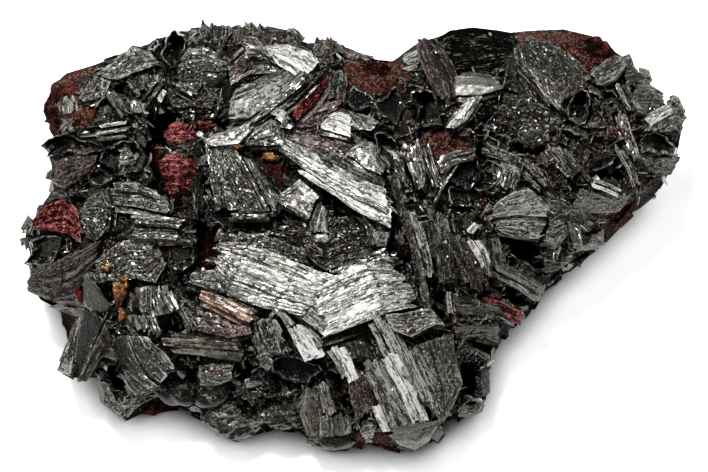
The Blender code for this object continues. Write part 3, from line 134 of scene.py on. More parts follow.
# finishes: three colours from crevice to glint, which of them prevails, how streaked, speckled, rough,
# lustrous and rust-stained they are (0 to 1), then in mm a lath's width, the step between sheets,
# grooves, grains and ragged ends
# the light colours are partly painted glints and sheen, and the silver finishes' lightness is partly painted
# sheen on the same dark mineral
LOOKS = {name: Look(*row) for name, *row in (
    ("bright", (.03, .029, .027), (.24, .238, .225), (.74, .735, .71),
     .66, .9, .8, .36, .5, .1, 1.1, .2, .06, .03, .9),
    ("frost", (.008, .008, .007), (.045, .0444, .0396), (.36, .3562, .3375),
     .50, .8, .8, .35, .5, .25, 1.5, .22, .06, .10, 1.),
    ("steel", (.002, .002, .0015), (.0156, .0153, .0126), (.315, .3112, .2888),
     .46, .9, .8, .28, .5, .4, 1.0, .35, .09, .06, 1.2),
    ("fan", (.004, .004, .003), (.05, .0495, .044), (.40, .398, .378),
     .38, 1., 1., .36, .45, .3, 2.2, .14, .09, .03, 1.2),
    ("slate", (.001, .0011, .0008), (.0042, .0048, .0034), (.178, .190, .162),
     .42, .8, .8, .28, .5, .5, 1.0, .32, .08, .06, 1.),
    ("dark", (.001, .0011, .0007), (.0020, .0021, .0014), (.108, .112, .09),
     .40, .7, .8, .35, .5, .5, 1.2, .40, .10, .10, 1.),
    ("striped", (.0008, .001, .0007), (.0026, .003, .0022), (.12, .128, .105),
     .37, 1., .7, .42, .12, .2, 1.4, .22, .12, .05, .3),
    ("smooth", (.002, .002, .0014), (.006, .0062, .005), (.28, .285, .25),
     .42, .3, .6, .3, .25, .1, 4., .06, .02, .02, .2),
    ("petal", (.005, .006, .005), (.017, .021, .0175), (.34, .37, .33),
     .44, .3, .5, .25, .3, .05, 5., .03, .01, .01, .1),
    ("granite", (.004, .004, .003), (.045, .045, .041), (.33, .33, .31),
     .46, .4, 1., .4, .45, .2, 3., .12, .04, .16, .5),
    ("clay", (.08, .083, .07), (.22, .225, .195), (.45, .46, .41),
     .48, .3, .6, .35, .4, .05, 4., .10, .03, .04, .3),
    ("rough", (.001, .0011, .0008), (.0043, .0046, .0032), (.258, .268, .222),
     .42, .3, 1., .34, .5, .5, 1.6, .38, .05, .26, 1.),
    ("grain", (.001, .0011, .0008), (.0038, .004, .0028), (.185, .192, .158),
     .41, .3, 1., .36, .5, .35, 3., .15, .04, .18, .6),
    ("green", (.001, .0013, .0008), (.003, .0036, .0023), (.18, .195, .1275),
     .41, .1, 1., .36, .5, .2, 2., .35, .04, .32, .8),
    ("rosy", (.002, .001, .001), (.018, .0075, .007), (.24, .18, .17),
     .42, .5, .9, .38, .4, .8, 1.5, .3, .06, .18, 1.),
    ("darkrose", (.001, .001, .0005), (.0036, .0017, .0014), (.12, .0825, .075),
     .41, .8, .7, .33, .45, .5, 1.0, .35, .1, .08, 1.),
    ("red", (.012, .002, .002), (.13, .019, .018), (.42, .17, .15),
     .44, .6, .9, .6, .15, .3, 2., .3, .04, .2, .6),
    ("scarlet", (.01, .001, .001), (.085, .004, .006), (.26, .05, .05),
     .50, .3, .7, .6, .15, .2, 2., .2, .04, .1, .5),
    ("rust", (.003, .001, .001), (.022, .0065, .003), (.24, .13, .065),
     .44, .4, .9, .5, .3, .5, 1.4, .3, .06, .18, 1.),
    ("ochre", (.015, .004, .001), (.20, .062, .014), (.60, .32, .11),
     .48, .3, .9, .6, .2, .2, 1.5, .2, .04, .15, .6),
    ("copper", (.012, .004, .002), (.14, .052, .030), (.62, .38, .28),
     .50, .9, .8, .4, .4, .35, .7, .22, .06, .06, .6),
    ("tan", (.003, .0028, .0018), (.0132, .0108, .0066), (.24, .21, .1575),
     .45, .7, .8, .35, .4, .3, 1.2, .28, .06, .08, .7),
    ("pink", (.002, .001, .001), (.0072, .0036, .0036), (.165, .1275, .1237),
     .43, .9, .7, .3, .5, .4, 1.2, .3, .06, .06, .6),
)}
BED = Look((.0005, .0005, .0005), (.005, .0048, .0038), (.17, .168, .14),
           .38, .2, 1, .8, .1, .7, 1, 0, 0, 0, 0)
STONE = Look((.003, .001, .0008), (.05, .0115, .007), (.14, .055, .038),
             .41, 0, .9, .85, .1, 0, 1, 0, 0, 0, 0)

# crystals: lift of the face over the crust, its two tilts in degrees, how deep it is rooted,
# its finish, and the face as one edge and the edge across from it, each a row of across, up
Blade = namedtuple("Blade", "lift across up deep finish edge other_edge")
BLADES = [Blade(*row[:5], points(row[5]), points(row[6])) for row in (
    (1.6, -8, 6, 2.5, "steel", [-52.6,24.3, -52,21.6], [-51.6,25.4, -50.2,23.8, -50.4,21.8]),
    (3.5, -6, 16, 5, "frost", [-46.4,29, -43,31.9, -39.5,34, -36.3,32.7], [-45,28.2, -42,28, -37.5,29.8,
     -34.4,30.6]),
    (2.2, -10, 8, 4, "rough", [-49.8,24, -47.6,27.4, -46,28.8], [-48,23.8, -44.4,25.2, -43.4,27.6]),
    (4.5, 8, -10, 6, "slate", [-43.9,25.8, -40.2,21.1], [-43.1,26.4, -39.5,21.8]),
    (-0.5, 0, -22, 3, "dark", [-47.6,22.2, -43.8,24.9, -41,23], [-48.4,19.2, -44,19.6, -40,19.4]),
    (3.4, 0, 10, 5, "bright", [-46.2,18.4, -40,19.4], [-45.9,17.8, -40.2,18.7]),
    (2.8, 0, 10, 5, "steel", [-46.4,17.5, -40.2,18.2], [-45.8,16.8, -40.4,17.5]),
    (2, -12, 8, 3, "steel", [-53.5,18.6, -50.4,21.5], [-51.6,18.1, -49.8,18.7]),
    (2.5, -12, -6, 4, "rosy", [-54.2,12.5, -51,14.3, -45.4,14.4], [-53.8,9.2, -51.5,8, -48.6,10.4,
     -46,12.8]),
    (0.6, -10, 0, 3, "dark", [-55.8,10.2, -55.2,11.9], [-54,9.6, -54,12.3]),
    (2.4, 10, 4, 4, "steel", [-41,27.9, -38.6,24.6], [-40.1,28.4, -37.9,25.2]),
    (3, -14, 4, 4, "slate", [-39.3,28.4, -38.2,25.7], [-38.4,28.6, -37.2,25.9]),
    (2.4, 6, 12, 4, "steel", [-37.8,28.6, -36.8,26.4], [-34,29.4, -34.2,27.4]),
    (4, 14, 8, 5, "steel", [-37.6,23, -34.2,27.6], [-37,22.7, -33.6,27.2]),
    (3, 10, 10, 4, "bright", [-35.4,24.2, -34.2,26.3], [-34.4,23.6, -33.3,25.9]),
    (2.6, -8, 10, 4, "frost", [-39.6,24.4, -39.2,21.8], [-38,24.4, -37.4,22]),
    (2, 8, 0, 4, "rough", [-39.4,21.8, -36.4,20], [-38.6,20.4, -36.6,18.8]),
    (2.6, 0, 10, 5, "rough", [-30,37, -26.4,37.1], [-30,33.2, -28,34.4, -26,34.4]),
    (2.6, -14, -4, 6, "slate", [-27.8,36, -27.5,39.3], [-26.4,35.6, -27.1,39]),
    (2.9, 14, -4, 6, "steel", [-27,36, -26.9,38.6], [-25.7,34.6, -26.1,38]),
    (2.6, -10, 0, 5, "slate", [-25.5,34.8, -25,37.8], [-24.3,34.6, -23.9,38]),
    (3, 8, 0, 5, "steel", [-24,35, -23.6,38.1], [-22.4,35, -22.2,38.2]),
    (2.4, -8, 4, 5, "dark", [-21.9,34.6, -21.8,37.2], [-19.8,34.4, -19.6,37.9]),
    (2.6, 0, 6, 5, "rough", [-19.4,36.4, -18.6,38.9], [-16.4,36, -17.4,37.8]),
    (2, 0, 14, 4, "rosy", [-16.6,37.6, -12.2,36.9], [-18,36, -14.4,34.2, -12.6,34.2]),
    (2.4, 6, 6, 4, "rough", [-12.4,36.8, -11.2,37], [-12,34.6, -9.6,34.4, -9,35.6]),
    (2.4, -8, 4, 5, "rough", [-31.6,30.2, -29.8,32.9, -26.6,32.6], [-31.4,26.2, -28.4,25, -27,27]),
    (3, 4, 8, 5, "rough", [-27,32.6, -22.6,31], [-27.2,27, -24.4,27.2, -22.4,28.6]),
    (3.2, -10, -10, 4, "steel", [-31.8,27.3, -28.4,25.6], [-31.6,26.2, -28.2,24.5]),
    (1.6, 0, -14, 4, "rough", [-33.4,25, -28.4,24.6, -24.4,24.9], [-32.8,22.8, -29,23, -25,22.6]),
    (2.8, 8, -4, 4, "rosy", [-22.4,31.2, -19.6,33.6], [-22.4,27.2, -20.2,28.2, -18.8,30.6]),
    (4.2, -10, 12, 5, "steel", [-22.6,31.2, -19.9,33.8], [-22.1,30.8, -19.4,33.3]),
    (3.8, 0, 14, 5, "steel", [-22.4,27.3, -18.4,29.6], [-22,26.8, -18.2,29]),
    (3.6, 0, 14, 5, "steel", [-19.6,33.7, -15.8,33.1], [-19,32, -16,31.9]),
    (3, 12, 10, 5, "steel", [-20,36, -18.6,35.8, -14.8,31.8], [-19.8,34.6, -16,31.6, -14.4,30.6]),
    (5, 4, 8, 5, "bright", [-15.9,34.1, -11.5,34.2, -8,32.8, -6,31], [-15.5,32.8, -13.5,30.4, -11,28.8,
     -8.8,27.2]),
    (1.8, 0, 6, 4, "slate", [-21,30.4, -16,31.4, -13.4,30], [-20.4,28.6, -16,29, -12.2,28.9]),
    (5, -6, 6, 6, "frost", [-22.1,22.4, -21.8,24.6, -17,26.7, -12.3,28.8], [-22.4,20.6, -18.2,20.8,
     -14.2,23.6, -9.6,26.6]),
    (4.4, -8, 4, 6, "frost", [-26.8,17.1, -24,18, -21,18.9, -18.4,20.4], [-26,15.9, -22.4,15.9, -20.2,16.2,
     -17.4,19.6]),
    (5.6, 10, 10, 7, "slate", [-19.4,19.4, -14.4,23.9, -9,28.5], [-17,20.4, -12.4,24, -8,27.7]),
    (4.4, 14, 4, 6, "slate", [-15.4,22.2, -11.6,25.2, -8.6,27.6], [-13.6,21.4, -10.6,23.6, -5,29.4]),
    (5.2, 0, 4, 5, "frost", [-14.4,20.6, -12.8,22], [-12.4,19.6, -11.1,20.9]),
    (3.4, 4, -10, 5, "slate", [-19.6,16.6, -18,18.8, -15.4,20.5], [-19,15.9, -15,16, -12.2,16.4, -12.4,19]),
    (3.6, 12, 4, 5, "red", [-11,21.5, -8.6,25.3, -4.8,29.2], [-10.2,20.4, -7,23.4, -4.6,27.2]),
    (2.8, 12, 0, 5, "slate", [-4.4,29.9, -5,24.2], [-1.8,29.6, -2.2,23.8]),
    (2, 6, 0, 4, "rosy", [-10,20.4, -6.4,23.2, -2.2,24.4], [-10.4,18.8, -6,19.6, -2.6,21.2]),
    (4.2, 4, -2, 5, "bright", [-6.1,19.6, -4.2,21.4, -2.5,21, 0.1,19.4], [-6,19, -3,18.1, -0.6,17.5]),
    (3.4, 8, 4, 5, "frost", [-2.4,22.8, 2.4,21, 4.2,20], [-2.8,21.2, 0.6,18.8, 3.6,18.6]),
    (2.2, 4, 4, 4, "rosy", [-12,18.6, -6,18.4, 1.6,15.2], [-12.6,16.4, -6,13.6, -1.6,12.2]),
    (3.2, -6, 0, 4, "tan", [-7.6,33, -6,34.9], [-6.2,31.2, -4.6,30.6, -3.6,32.6]),
    (2.4, 0, 0, 5, "dark", [-7.4,34.2, -6.8,36.1], [-5.4,34.4, -5,35.8]),
    (2.6, 10, 4, 5, "dark", [-4.8,33.6, -4.2,35.8], [-2.6,32.6, -2.4,34.2]),
    (1.6, 0, 4, 4, "steel", [-2,33, 0.2,32.8, 3,32], [-1.8,32, 1,31.8, 3.4,31.2]),
    (6.2, 6, -4, 5, "bright", [-13.6,16.9, -5.5,12.6, 0,9.5, 5.5,7.2], [-12.9,15, -8.5,11.5, -3.5,8.4,
     6.6,3.2]),
    (5.8, 4, -8, 5, "bright", [-10,12.2, -5.5,9.6, 0,6.6, 7,3.4], [-9.9,11, -5.5,8.3, -2,5.9, 1.2,3.8,
     6.8,1.1]),
    (4.6, 6, -4, 5, "frost", [-1.5,14.9, 0.9,17, 3.5,16.7, 5.5,11.6], [-1.4,14.2, 2,12, 4.8,10.7]),
    (4.6, -6, 6, 5, "slate", [-6.4,14.6, 0,11.8, 5.6,9.8], [-5.8,12.6, 0,9.6, 5.2,7.4]),
    (4.6, 0, -6, 5, "frost", [-13.9,6.9, -9.6,10, -6,7], [-13.7,6.2, -10,4, -7.9,2.5]),
    (3, 0, -10, 5, "frost", [-5.7,5.4, -7.2,0.6], [-5,5.2, -4.4,0.4]),
    (3.6, 12, -8, 5, "slate", [-6.2,6.4, -8,2.4, -7.6,0.6], [-5.6,6, -7,1]),
    (3.6, -4, -4, 6, "rough", [-26,15.6, -25.6,11, -24.4,4.2], [-21,15.8, -19.4,11.4, -15.8,4.4]),
    (4.6, 14, 0, 6, "slate", [-20.9,14.4, -15.4,4.2], [-20,14.2, -14.4,4]),
    (5, -10, 0, 6, "slate", [-19.8,14.4, -14.2,3.9], [-19,14, -13.4,4.2]),
    (4.4, 14, 0, 6, "slate", [-18.6,12.6, -13.6,4.9], [-17.8,12.2, -13,6.2]),
    (4.6, 0, 12, 6, "steel", [-22,4, -18,4, -14.4,4], [-21.6,2.9, -17,2.7, -14.6,2.9]),
    (3.6, 0, 16, 5, "steel", [-20.4,0.9, -17.4,0.4, -14.4,1.2], [-20.6,0.2, -17,-0.4, -13.8,0.4]),
    (2.4, 2, 2, 4, "rough", [-8.4,2.2, -4,3.6, 0.6,3.6], [-9.6,-2.6, -5,-6.2, 0,-4.6, 5.8,-2.8]),
    (4.4, 0, -4, 6, "fan", [-24,-0.8, -18,-1.2, -10,-4.4, -3.4,-7.6], [-25,-6.2, -22.4,-10.4, -16,-12.8,
     -8.6,-14.2]),
    (4.1, 0, -4, 6, "fan", [-29,-6.8, -26,-6.2, -23.6,-6], [-29.2,-8.2, -26,-9.3, -22.6,-10.2]),
    (5, -2, -2, 6, "fan", [-7,-9.4, -3.5,-7.4, 2,-4.6, 7.8,-5], [-5.8,-18, 0.4,-15.7, 6,-13.5, 12.2,-12.2]),
    (4.3, 0, -3, 6, "fan", [-13,-3.4, -6.5,-6, -2.5,-7], [-13,-12, -9.4,-14.4, -5.2,-17.6]),
    (3.9, 0, 2, 6, "rough", [-24,0.6, -16,0.4, -9,-2.4], [-25,-2.4, -16,-2.6, -7,-5.4]),
    (4.6, 0, 8, 6, "steel", [-4.4,-6.4, 1,-3.6, 5.6,-2], [-3,-7.6, 2,-5.2, 7.6,-4.8]),
    (3, 0, -40, 5, "dark", [-5.6,-17.8, 1,-15.8, 4.4,-14.6], [-5.4,-19.4, 1.6,-17.2, 5,-15.8]),
    (4.2, 12, 0, 5, "slate", [0.6,3.9, 3.6,-1.2], [2,3.6, 4.6,0]),
    (4.6, 0, 4, 5, "frost", [3.2,0.8, 4,-1.9], [6.5,0.8, 5.8,-1.9]),
    (3.6, 8, 0, 5, "rosy", [6.8,0.2, 8,-1.6], [8.4,1, 9.2,-1.4]),
    (4.4, -16, -2, 7, "slate", [5.6,10.6, 8,3, 10.4,-5, 12.2,-13.4], [7.6,11.4, 9.8,3, 12,-5, 13.8,-12.6]),
    (5.2, 10, 0, 7, "steel", [9.6,4.4, 11.2,-1, 13,-8], [10.8,4.8, 12.6,-1.8, 13.8,-7.4]),
    (3.6, -10, 0, 6, "slate", [11.4,3, 13,-4], [13.6,3.2, 14.4,-4.6]),
    (1.6, 8, 0, 5, "dark", [5.6,14, 8.6,6], [8.2,13.6, 11.2,6]),
    (3.6, 12, 0, 7, "slate", [14,4.4, 15.2,-2, 16,-8.4], [15.6,4.2, 17,-1.6, 17.2,-8]),
    (3.8, -12, 0, 7, "slate", [16.2,0.4, 17.6,-4, 19.6,-8.6], [17.4,0.8, 19,-3.4, 20.4,-8.2]),
    (4, 12, 0, 7, "rosy", [18.4,-0.2, 20.4,-4.6, 22.4,-10], [19.2,0.2, 21.4,-3.8, 23,-9.6]),
    (5, 4, 0, 7, "bright", [19.6,-0.6, 21.4,-3.6, 22.6,-6], [20.6,-0.4, 22.2,-2.6, 23,-5]),
    (4.6, -8, 0, 7, "steel", [22.2,-0.6, 23,-7.2], [23,-0.6, 23.9,-7.4]),
    (3.6, 8, 0, 7, "slate", [24,0, 25.2,-6], [25.6,-0.2, 27,-5]),
    (3.4, -6, 0, 6, "steel", [16,-9.8, 16.4,-14], [17,-9.4, 17.6,-14]),
    (4.6, 6, -4, 7, "pink", [11.2,35.4, 12.8,30, 15.6,24], [13.4,35.6, 16.6,31.4, 18.1,28, 18,24.4]),
    (2.6, -6, 0, 4, "frost", [8.1,31.6, 11.4,33.6], [9.6,30.6, 12,30.8]),
    (2.6, 0, 4, 5, "striped", [13.8,33.6, 16.4,35.6, 20,36.4, 24,36, 28.4,35], [16.4,31, 18.4,28.4, 24,28.6,
     28.4,30.4]),
    (4.6, 0, 8, 5, "bright", [24,36.6, 24.8,34], [24.5,36.6, 25.4,34]),
    (4.2, 0, 12, 6, "clay", [18,28.4, 22.8,28.3, 26.4,26.6], [16,23.9, 18.4,25, 22.2,24.9, 26,26]),
    (4.6, -4, 8, 6, "bright", [15.9,18.7, 18.4,22, 20.4,24.8], [17.4,18.8, 20.2,20.6, 22.9,25]),
    (1.8, -6, 0, 4, "dark", [28,33, 26.6,28.6, 27,26.2], [28.8,30.4, 31.6,27, 35.6,22.4]),
    (2.8, -2, 4, 4, "grain", [29.4,34, 31.2,35.8, 36,34.6], [29.6,30.8, 32.4,27.4, 36.2,22.8, 38.4,25.4]),
    (2.4, 2, 4, 4, "grain", [36,34.6, 39.6,31], [36.2,24, 38.4,24.6, 42,26.8]),
    (4.6, 10, 0, 6, "steel", [28.3,33.7, 28.7,30.6, 31.6,27.4, 36,22], [29,33.7, 29.5,31, 32.4,27.7,
     36.7,22.4]),
    (3.4, 0, 8, 5, "steel", [42.2,27.2, 43.6,29.4, 48.2,31.6], [44,26.8, 47,28, 49,30.8]),
    (2.6, 10, 2, 5, "frost", [48.2,31.4, 50,32.1], [48.6,26.6, 50.6,27.4, 51,29.8]),
    (2, 6, 0, 4, "rough", [50.6,29.6, 53,29.2], [50.8,27.2, 53.3,26]),
    (3, 4, 6, 5, "slate", [50,26.2, 53.2,26.4, 55.8,24.3], [50.2,22.2, 52.4,22, 54.6,22.8]),
    (4, 0, 6, 5, "bright", [51.6,20.9, 54,22.4, 56.4,23.6], [52.8,19.5, 55,20.8, 57.6,22.2]),
    (2.6, 12, 0, 5, "rough", [56.2,24.2, 57,24.8, 58.4,24.3], [57.6,21, 58.6,19.4, 60,21.4]),
    (3, 8, -8, 5, "rough", [53.6,19.6, 57.6,21.8], [54.6,18.4, 58.2,18.8]),
    (2.2, 6, -8, 4, "grain", [50.4,14.8, 54,13.8, 58.6,14.4], [50.2,12.2, 53.6,11.2, 57.2,11]),
    (3.4, -8, 0, 5, "steel", [46.6,22.4, 47.6,18, 49.8,13], [47.6,22.6, 48.8,18.4, 50.6,13.6]),
    (4, 10, 0, 5, "steel", [46.2,27.4, 48.6,22], [47.2,27.6, 49.6,22.4]),
    (3.8, -10, 0, 5, "steel", [45.6,16, 48.4,11.8, 49.6,8], [46.4,16.4, 49.2,12, 50.4,8]),
    (4.4, 0, 8, 5, "bright", [41.6,9.6, 44,8.8, 47,7.5], [41.9,8.7, 44,8, 46.8,6.9]),
    (2.2, 4, -6, 4, "grain", [40,8.4, 46,7.4, 49.8,7.4], [38,4, 43,4, 47.6,4.4]),
    (3.8, -6, 4, 6, "steel", [9.2,16.4, 9,13.6, 11,8.2], [11.4,17.3, 12.4,14, 12.8,11, 12.4,8]),
    (4.4, 10, 0, 6, "steel", [11.8,16.8, 12.6,13, 14.6,8.4], [12.4,16.6, 13.2,13.2, 15.2,8.6]),
    (4.2, -6, 4, 6, "steel", [18.6,12.9, 15.6,9.6, 13.8,5.8], [17.6,11.2, 15.8,8.6, 14.6,5.8]),
    (3.6, 0, 10, 5, "frost", [14.6,12, 16,13.2, 18.4,14, 21.8,14.3], [15.4,10.8, 17.8,12.6, 21.6,13.4]),
    (2.8, 0, 6, 5, "rough", [26.4,24.8, 31,24.4, 35.4,21], [25.4,22, 29,20.4, 33.6,18.2, 36,18.6]),
    (3.6, 0, 4, 5, "rough", [28.4,18.2, 31,19.4, 35,17.4], [28.9,17.6, 30.6,16.2, 34,16.1]),
    (3.2, 0, 10, 5, "rough", [22.6,15.8, 27,14.4, 33,11], [22.4,14.6, 27.6,12.8, 32.6,9.6]),
    (3.8, -10, 0, 5, "steel", [26,13.4, 25.4,8.6], [27.4,13.2, 28.6,11, 27,8]),
    (3.6, 12, 6, 5, "steel", [28.4,14, 33.8,8.4], [29,14.4, 34.6,9.2]),
    (3.6, 10, 6, 5, "steel", [34,15.4, 38.6,10], [34.8,15.8, 39.2,10.8]),
    (3.4, 10, 6, 5, "slate", [36.6,15.6, 42,8.8], [37.4,15.8, 42.6,9.6]),
    (4.6, -2, 6, 6, "frost", [24.2,4.8, 26.4,6.6, 30.4,8.3], [24.2,3.2, 29,3.6, 34.3,3.4]),
    (4.4, 6, 4, 6, "frost", [30.4,8.3, 33.4,5.6], [29.4,5, 34.2,3.6]),
    (3.6, 0, -6, 6, "frost", [24.6,2.6, 29,3, 34.2,2.8], [25.2,0.8, 28,-0.2, 33,-0.6]),
    (3, 6, -4, 5, "steel", [34.2,2.6, 37.6,3], [33.4,-1.4, 35.4,-2.8, 37.4,-0.8]),
    (3.6, 0, 0, 5, "tan", [37.7,2.7, 39,-2.4], [38.9,2.6, 40.1,-2.3]),
    (2.4, 8, -6, 4, "frost", [42,0.2, 44.2,0.6], [41.6,-1.6, 44.4,-2.4]),
    (2.2, 4, -2, 4, "grain", [34,8, 40,4.6, 43,2], [34.4,3.4, 37.4,3, 41.4,0.4]),
    (4.4, 0, 4, 5, "bright", [19.6,0.8, 21.4,2.8], [21,0.2, 22.2,1.8]),
    (4, 0, 10, 6, "slate", [24.6,-4.8, 29,-6.4, 34,-9.4], [24.8,-6, 29,-8, 33.9,-10.6]),
    (3.4, 0, -10, 6, "steel", [24.8,-6.4, 29,-8.4, 33.6,-11.2], [25.4,-7.6, 29.2,-9.6, 33,-12.4]),
    (2, 4, -10, 4, "slate", [33.4,-3, 36,-3.4, 40,-3.6], [34,-6.6, 36.4,-6.2]),
    (1.6, 0, -6, 4, "red", [22.6,-10.8, 26,-11.4, 30,-13.6], [22.6,-12.8, 26.4,-14.8, 29.8,-16]),
    (2.6, 0, -6, 5, "dark", [18,-12, 22,-12.4, 25.6,-14], [18,-13.6, 22,-14, 25,-15]),
    (3, 0, -4, 5, "dark", [17.4,-15.9, 22,-15.8, 25.8,-15.6], [18,-18.2, 22.4,-17.8, 26,-19.2]),
    (2.4, 0, -4, 5, "rough", [18.2,-20, 21.4,-19.8, 24.4,-21.2], [18.6,-21, 21.6,-20.8, 24,-22.6]),
    (2.4, 6, -4, 5, "dark", [21.4,-23.4, 23.8,-23], [22,-27.8, 24.4,-27]),
    (1.6, 0, -6, 4, "rough", [18.6,-30.2, 21.4,-30, 23.8,-28.6], [18.4,-31.7, 21,-31.8, 23,-30.9]),
    (4.2, 4, -4, 7, "granite", [10.2,-19.4, 12.6,-26, 15.2,-33.4], [17.3,-16.8, 18.3,-23, 19.2,-26,
     17.2,-30.6]),
    (5, 2, -4, 7, "frost", [5.4,-13.8, 9.6,-13.2, 13.6,-12.4], [6.4,-16.4, 10,-17.8, 14.4,-15.6,
     16.6,-16.2]),
    (5.6, 0, -8, 6, "steel", [8,-15.8, 13.4,-13.8], [9.8,-17.7, 13.8,-15.6]),
    (5.4, -10, -4, 7, "frost", [3.2,-14.2, 6,-19.6, 8.6,-25], [4.6,-13.7, 7.6,-19.6, 10,-24.6]),
    (5, 12, -4, 7, "steel", [4.8,-13.8, 8,-20, 12.6,-30.6], [5.9,-13.9, 9.2,-20.2, 13.8,-30.6]),
    (5.8, -6, -4, 8, "bright", [4.4,-21, 8,-27.4, 10.4,-33.2], [5.8,-20.4, 9.4,-26.8, 11.9,-32.7]),
    (5.6, -8, -4, 7, "frost", [8.2,-20.2, 10.4,-25, 12.2,-29.4], [9,-19.8, 11.4,-24.8, 13.2,-29.2]),
    (4.8, 8, -4, 7, "steel", [10.4,-19.8, 12.2,-24.4, 14.6,-32], [11.6,-19.6, 13.6,-24.6, 16,-31.6]),
    (5.2, 6, -4, 7, "frost", [1.5,-22.8, 4,-28, 6.6,-33.8], [2.6,-22.2, 5.2,-27.4, 8.2,-33.9]),
    (4.4, -10, -4, 7, "steel", [2.8,-22, 5.6,-27.6, 8.4,-33.6], [4.2,-21, 7,-26.4, 10.2,-33.2]),
    (5, 0, -6, 7, "bright", [2.8,-29.6, 5,-34.6], [4.4,-29.2, 6.6,-34.6]),
    (3.8, -6, -4, 6, "rosy", [-1.2,-25.8, -0.6,-29, 0.4,-32], [1.6,-23.4, 2.8,-28.6, 2.6,-30.6]),
    (5, -6, 0, 7, "bright", [-4.4,-19.4, -2,-23.2, -0.9,-26], [-3,-18.9, -1,-22.6, 0.1,-25.3]),
    (3, 8, 0, 5, "dark", [-2.6,-18.6, -0.8,-22], [1.4,-18.2, 2.2,-21.4]),
    (3.4, -4, -8, 5, "frost", [0.8,-34.2, 2.2,-32.8, 3.8,-33], [1.9,-36.1, 3.4,-35.8]),
    (2.6, 0, -14, 5, "clay", [6,-35.2, 9,-34.1, 15,-33.6], [8,-37, 10.8,-38, 13.4,-36.4]),
    (1.8, 8, -6, 4, "dark", [13.4,-36.2, 15,-34.3], [15,-36.9, 16.3,-34.9]),
    (3.4, -12, -8, 6, "tan", [-8.4,-27, -9.6,-31.6, -8,-35.9], [-6.8,-26.6, -6.4,-31, -6,-35.2]),
    (4.4, -6, -6, 6, "steel", [-6.3,-26, -5.6,-29, -4.8,-32], [-4.8,-25, -4,-28, -3.2,-31.4]),
    (3.2, 0, -14, 5, "frost", [-6.2,-31.4, -6,-35.4], [-0.8,-31.6, -0.6,-34.8]),
    (4, 6, 0, 6, "steel", [-17.9,-15.2, -17,-18.4, -15.6,-21], [-15.2,-13.9, -13.6,-17.4, -12.5,-20.6]),
    (5.2, 0, 0, 6, "frost", [-15.3,-14.2, -13.9,-12.6, -12.2,-14, -11,-16.2], [-14.6,-14.8, -13.7,-13.6,
     -12.8,-14.4, -11.6,-16.6]),
    (5, -10, 0, 6, "frost", [-14.6,-14.8, -12.6,-19], [-13.8,-14.4, -12.1,-18.4]),
    (5.4, 0, -2, 6, "bright", [-11.9,-16, -10,-19.6, -8.6,-22.2], [-10.7,-15.5, -8,-18.3, -6.1,-21.2]),
    (4.4, 10, 0, 6, "slate", [-9.6,-16, -6.4,-20.4], [-8.6,-15.6, -5.6,-19.6]),
    (3.8, 0, -6, 6, "rosy", [-29.2,-12.5, -24,-12.6, -18.2,-14.9], [-27.6,-16.8, -22,-17.9, -17.8,-17.2]),
    (5.4, 0, -4, 6, "copper", [-27,-9.5, -23.4,-10.5, -19,-13, -17.2,-14.3], [-27.3,-11, -24,-12.6,
     -20,-14.6, -18.4,-15.2]),
    (4.6, 0, 8, 6, "slate", [-22.4,-10.6, -17,-12.9], [-21.2,-12, -16.6,-13.7]),
    (4.6, -8, -2, 6, "steel", [-30.6,-12.2, -28.2,-17], [-29.4,-12.5, -27.3,-16.2]),
    (4.2, 0, 6, 5, "tan", [-34,-17.9, -28,-18, -20.4,-18.7], [-33.6,-19.4, -28,-19.7, -19.8,-20.1]),
    (4.6, 0, -8, 3.5, "tan", [-32.4,-19.9, -26,-19.8, -19.4,-20.7], [-31.6,-20.6, -26,-21.3, -19.8,-22.3]),
    (4, 0, 0, 5, "frost", [-18,-21.8, -16,-20.3, -14,-20.9], [-15.4,-24, -14.2,-23]),
    (3, -12, 0, 4, "red", [-57.8,2.3, -55,5.7, -52,6.7, -49.6,4.4], [-56.8,1.2, -53.6,0.8, -51,0.4,
     -48.2,-1.4]),
    (3.4, -8, 12, 5, "dark", [-55.8,5.6, -54.4,7.6, -51.8,7.5], [-54.8,5.9, -53.2,6.8, -50,5.9]),
    (1.4, -14, 0, 3, "dark", [-59.9,0.4, -58.2,3.7], [-57.2,0.2, -57.2,2.6]),
    (1.4, -6, 0, 3, "rust", [-59.5,-0.2, -59,-2.8], [-57.5,-0.1, -58.2,-2.4]),
    (3.2, -8, -6, 4, "darkrose", [-58.5,-5.9, -54,-5, -49.6,-2.9, -44.4,-0.4], [-58.4,-9.8, -54,-11.6,
     -49.4,-10.2, -46.2,-5.6]),
    (1.6, -4, -14, 4, "darkrose", [-55.6,-11, -50,-9.4, -47.6,-9], [-51.2,-12.8, -49,-13.8, -47.8,-12.6]),
    (4, -6, 0, 4, "scarlet", [-49.7,-9.7, -48.9,-9], [-49,-11.9, -48,-12.2, -47.9,-10.4]),
    (3.4, -22, -4, 4, "smooth", [-48.4,-12.5, -50.3,-17.4, -52.8,-23.9], [-48,-13, -49.7,-19, -50.2,-25]),
    (3.4, 14, -4, 4, "smooth", [-48.2,-12.6, -49.4,-19, -49.9,-25.2], [-44.3,-15, -46.6,-20, -48.8,-25.2]),
    (4, -14, -4, 4, "tan", [-43.9,-15, -46.8,-20.4, -48.8,-25], [-42.9,-18, -45.4,-21.6, -47.8,-25.3]),
    (3, 6, -8, 4, "tan", [-46,-19.6, -43,-18], [-46.4,-22.4, -44,-21.4, -41.6,-22.4]),
    (4, 8, -4, 5, "smooth", [-47.8,-7.2, -48.1,-12.4], [-46.2,-7.6, -43.1,-12.2, -44.5,-14.7]),
    (4.6, -6, 4, 5, "steel", [-47.2,-6.7, -46,-8.6], [-44.4,-5.9, -44.2,-8.4]),
    (2.9, -2, 0, 6, "rough", [-46,-4.4, -43.4,-2.4, -40,-0.9, -35.4,-0.9], [-45.6,-6.4, -42,-8.6, -38.6,-7.4,
     -35,-8.4, -33,-5.2]),
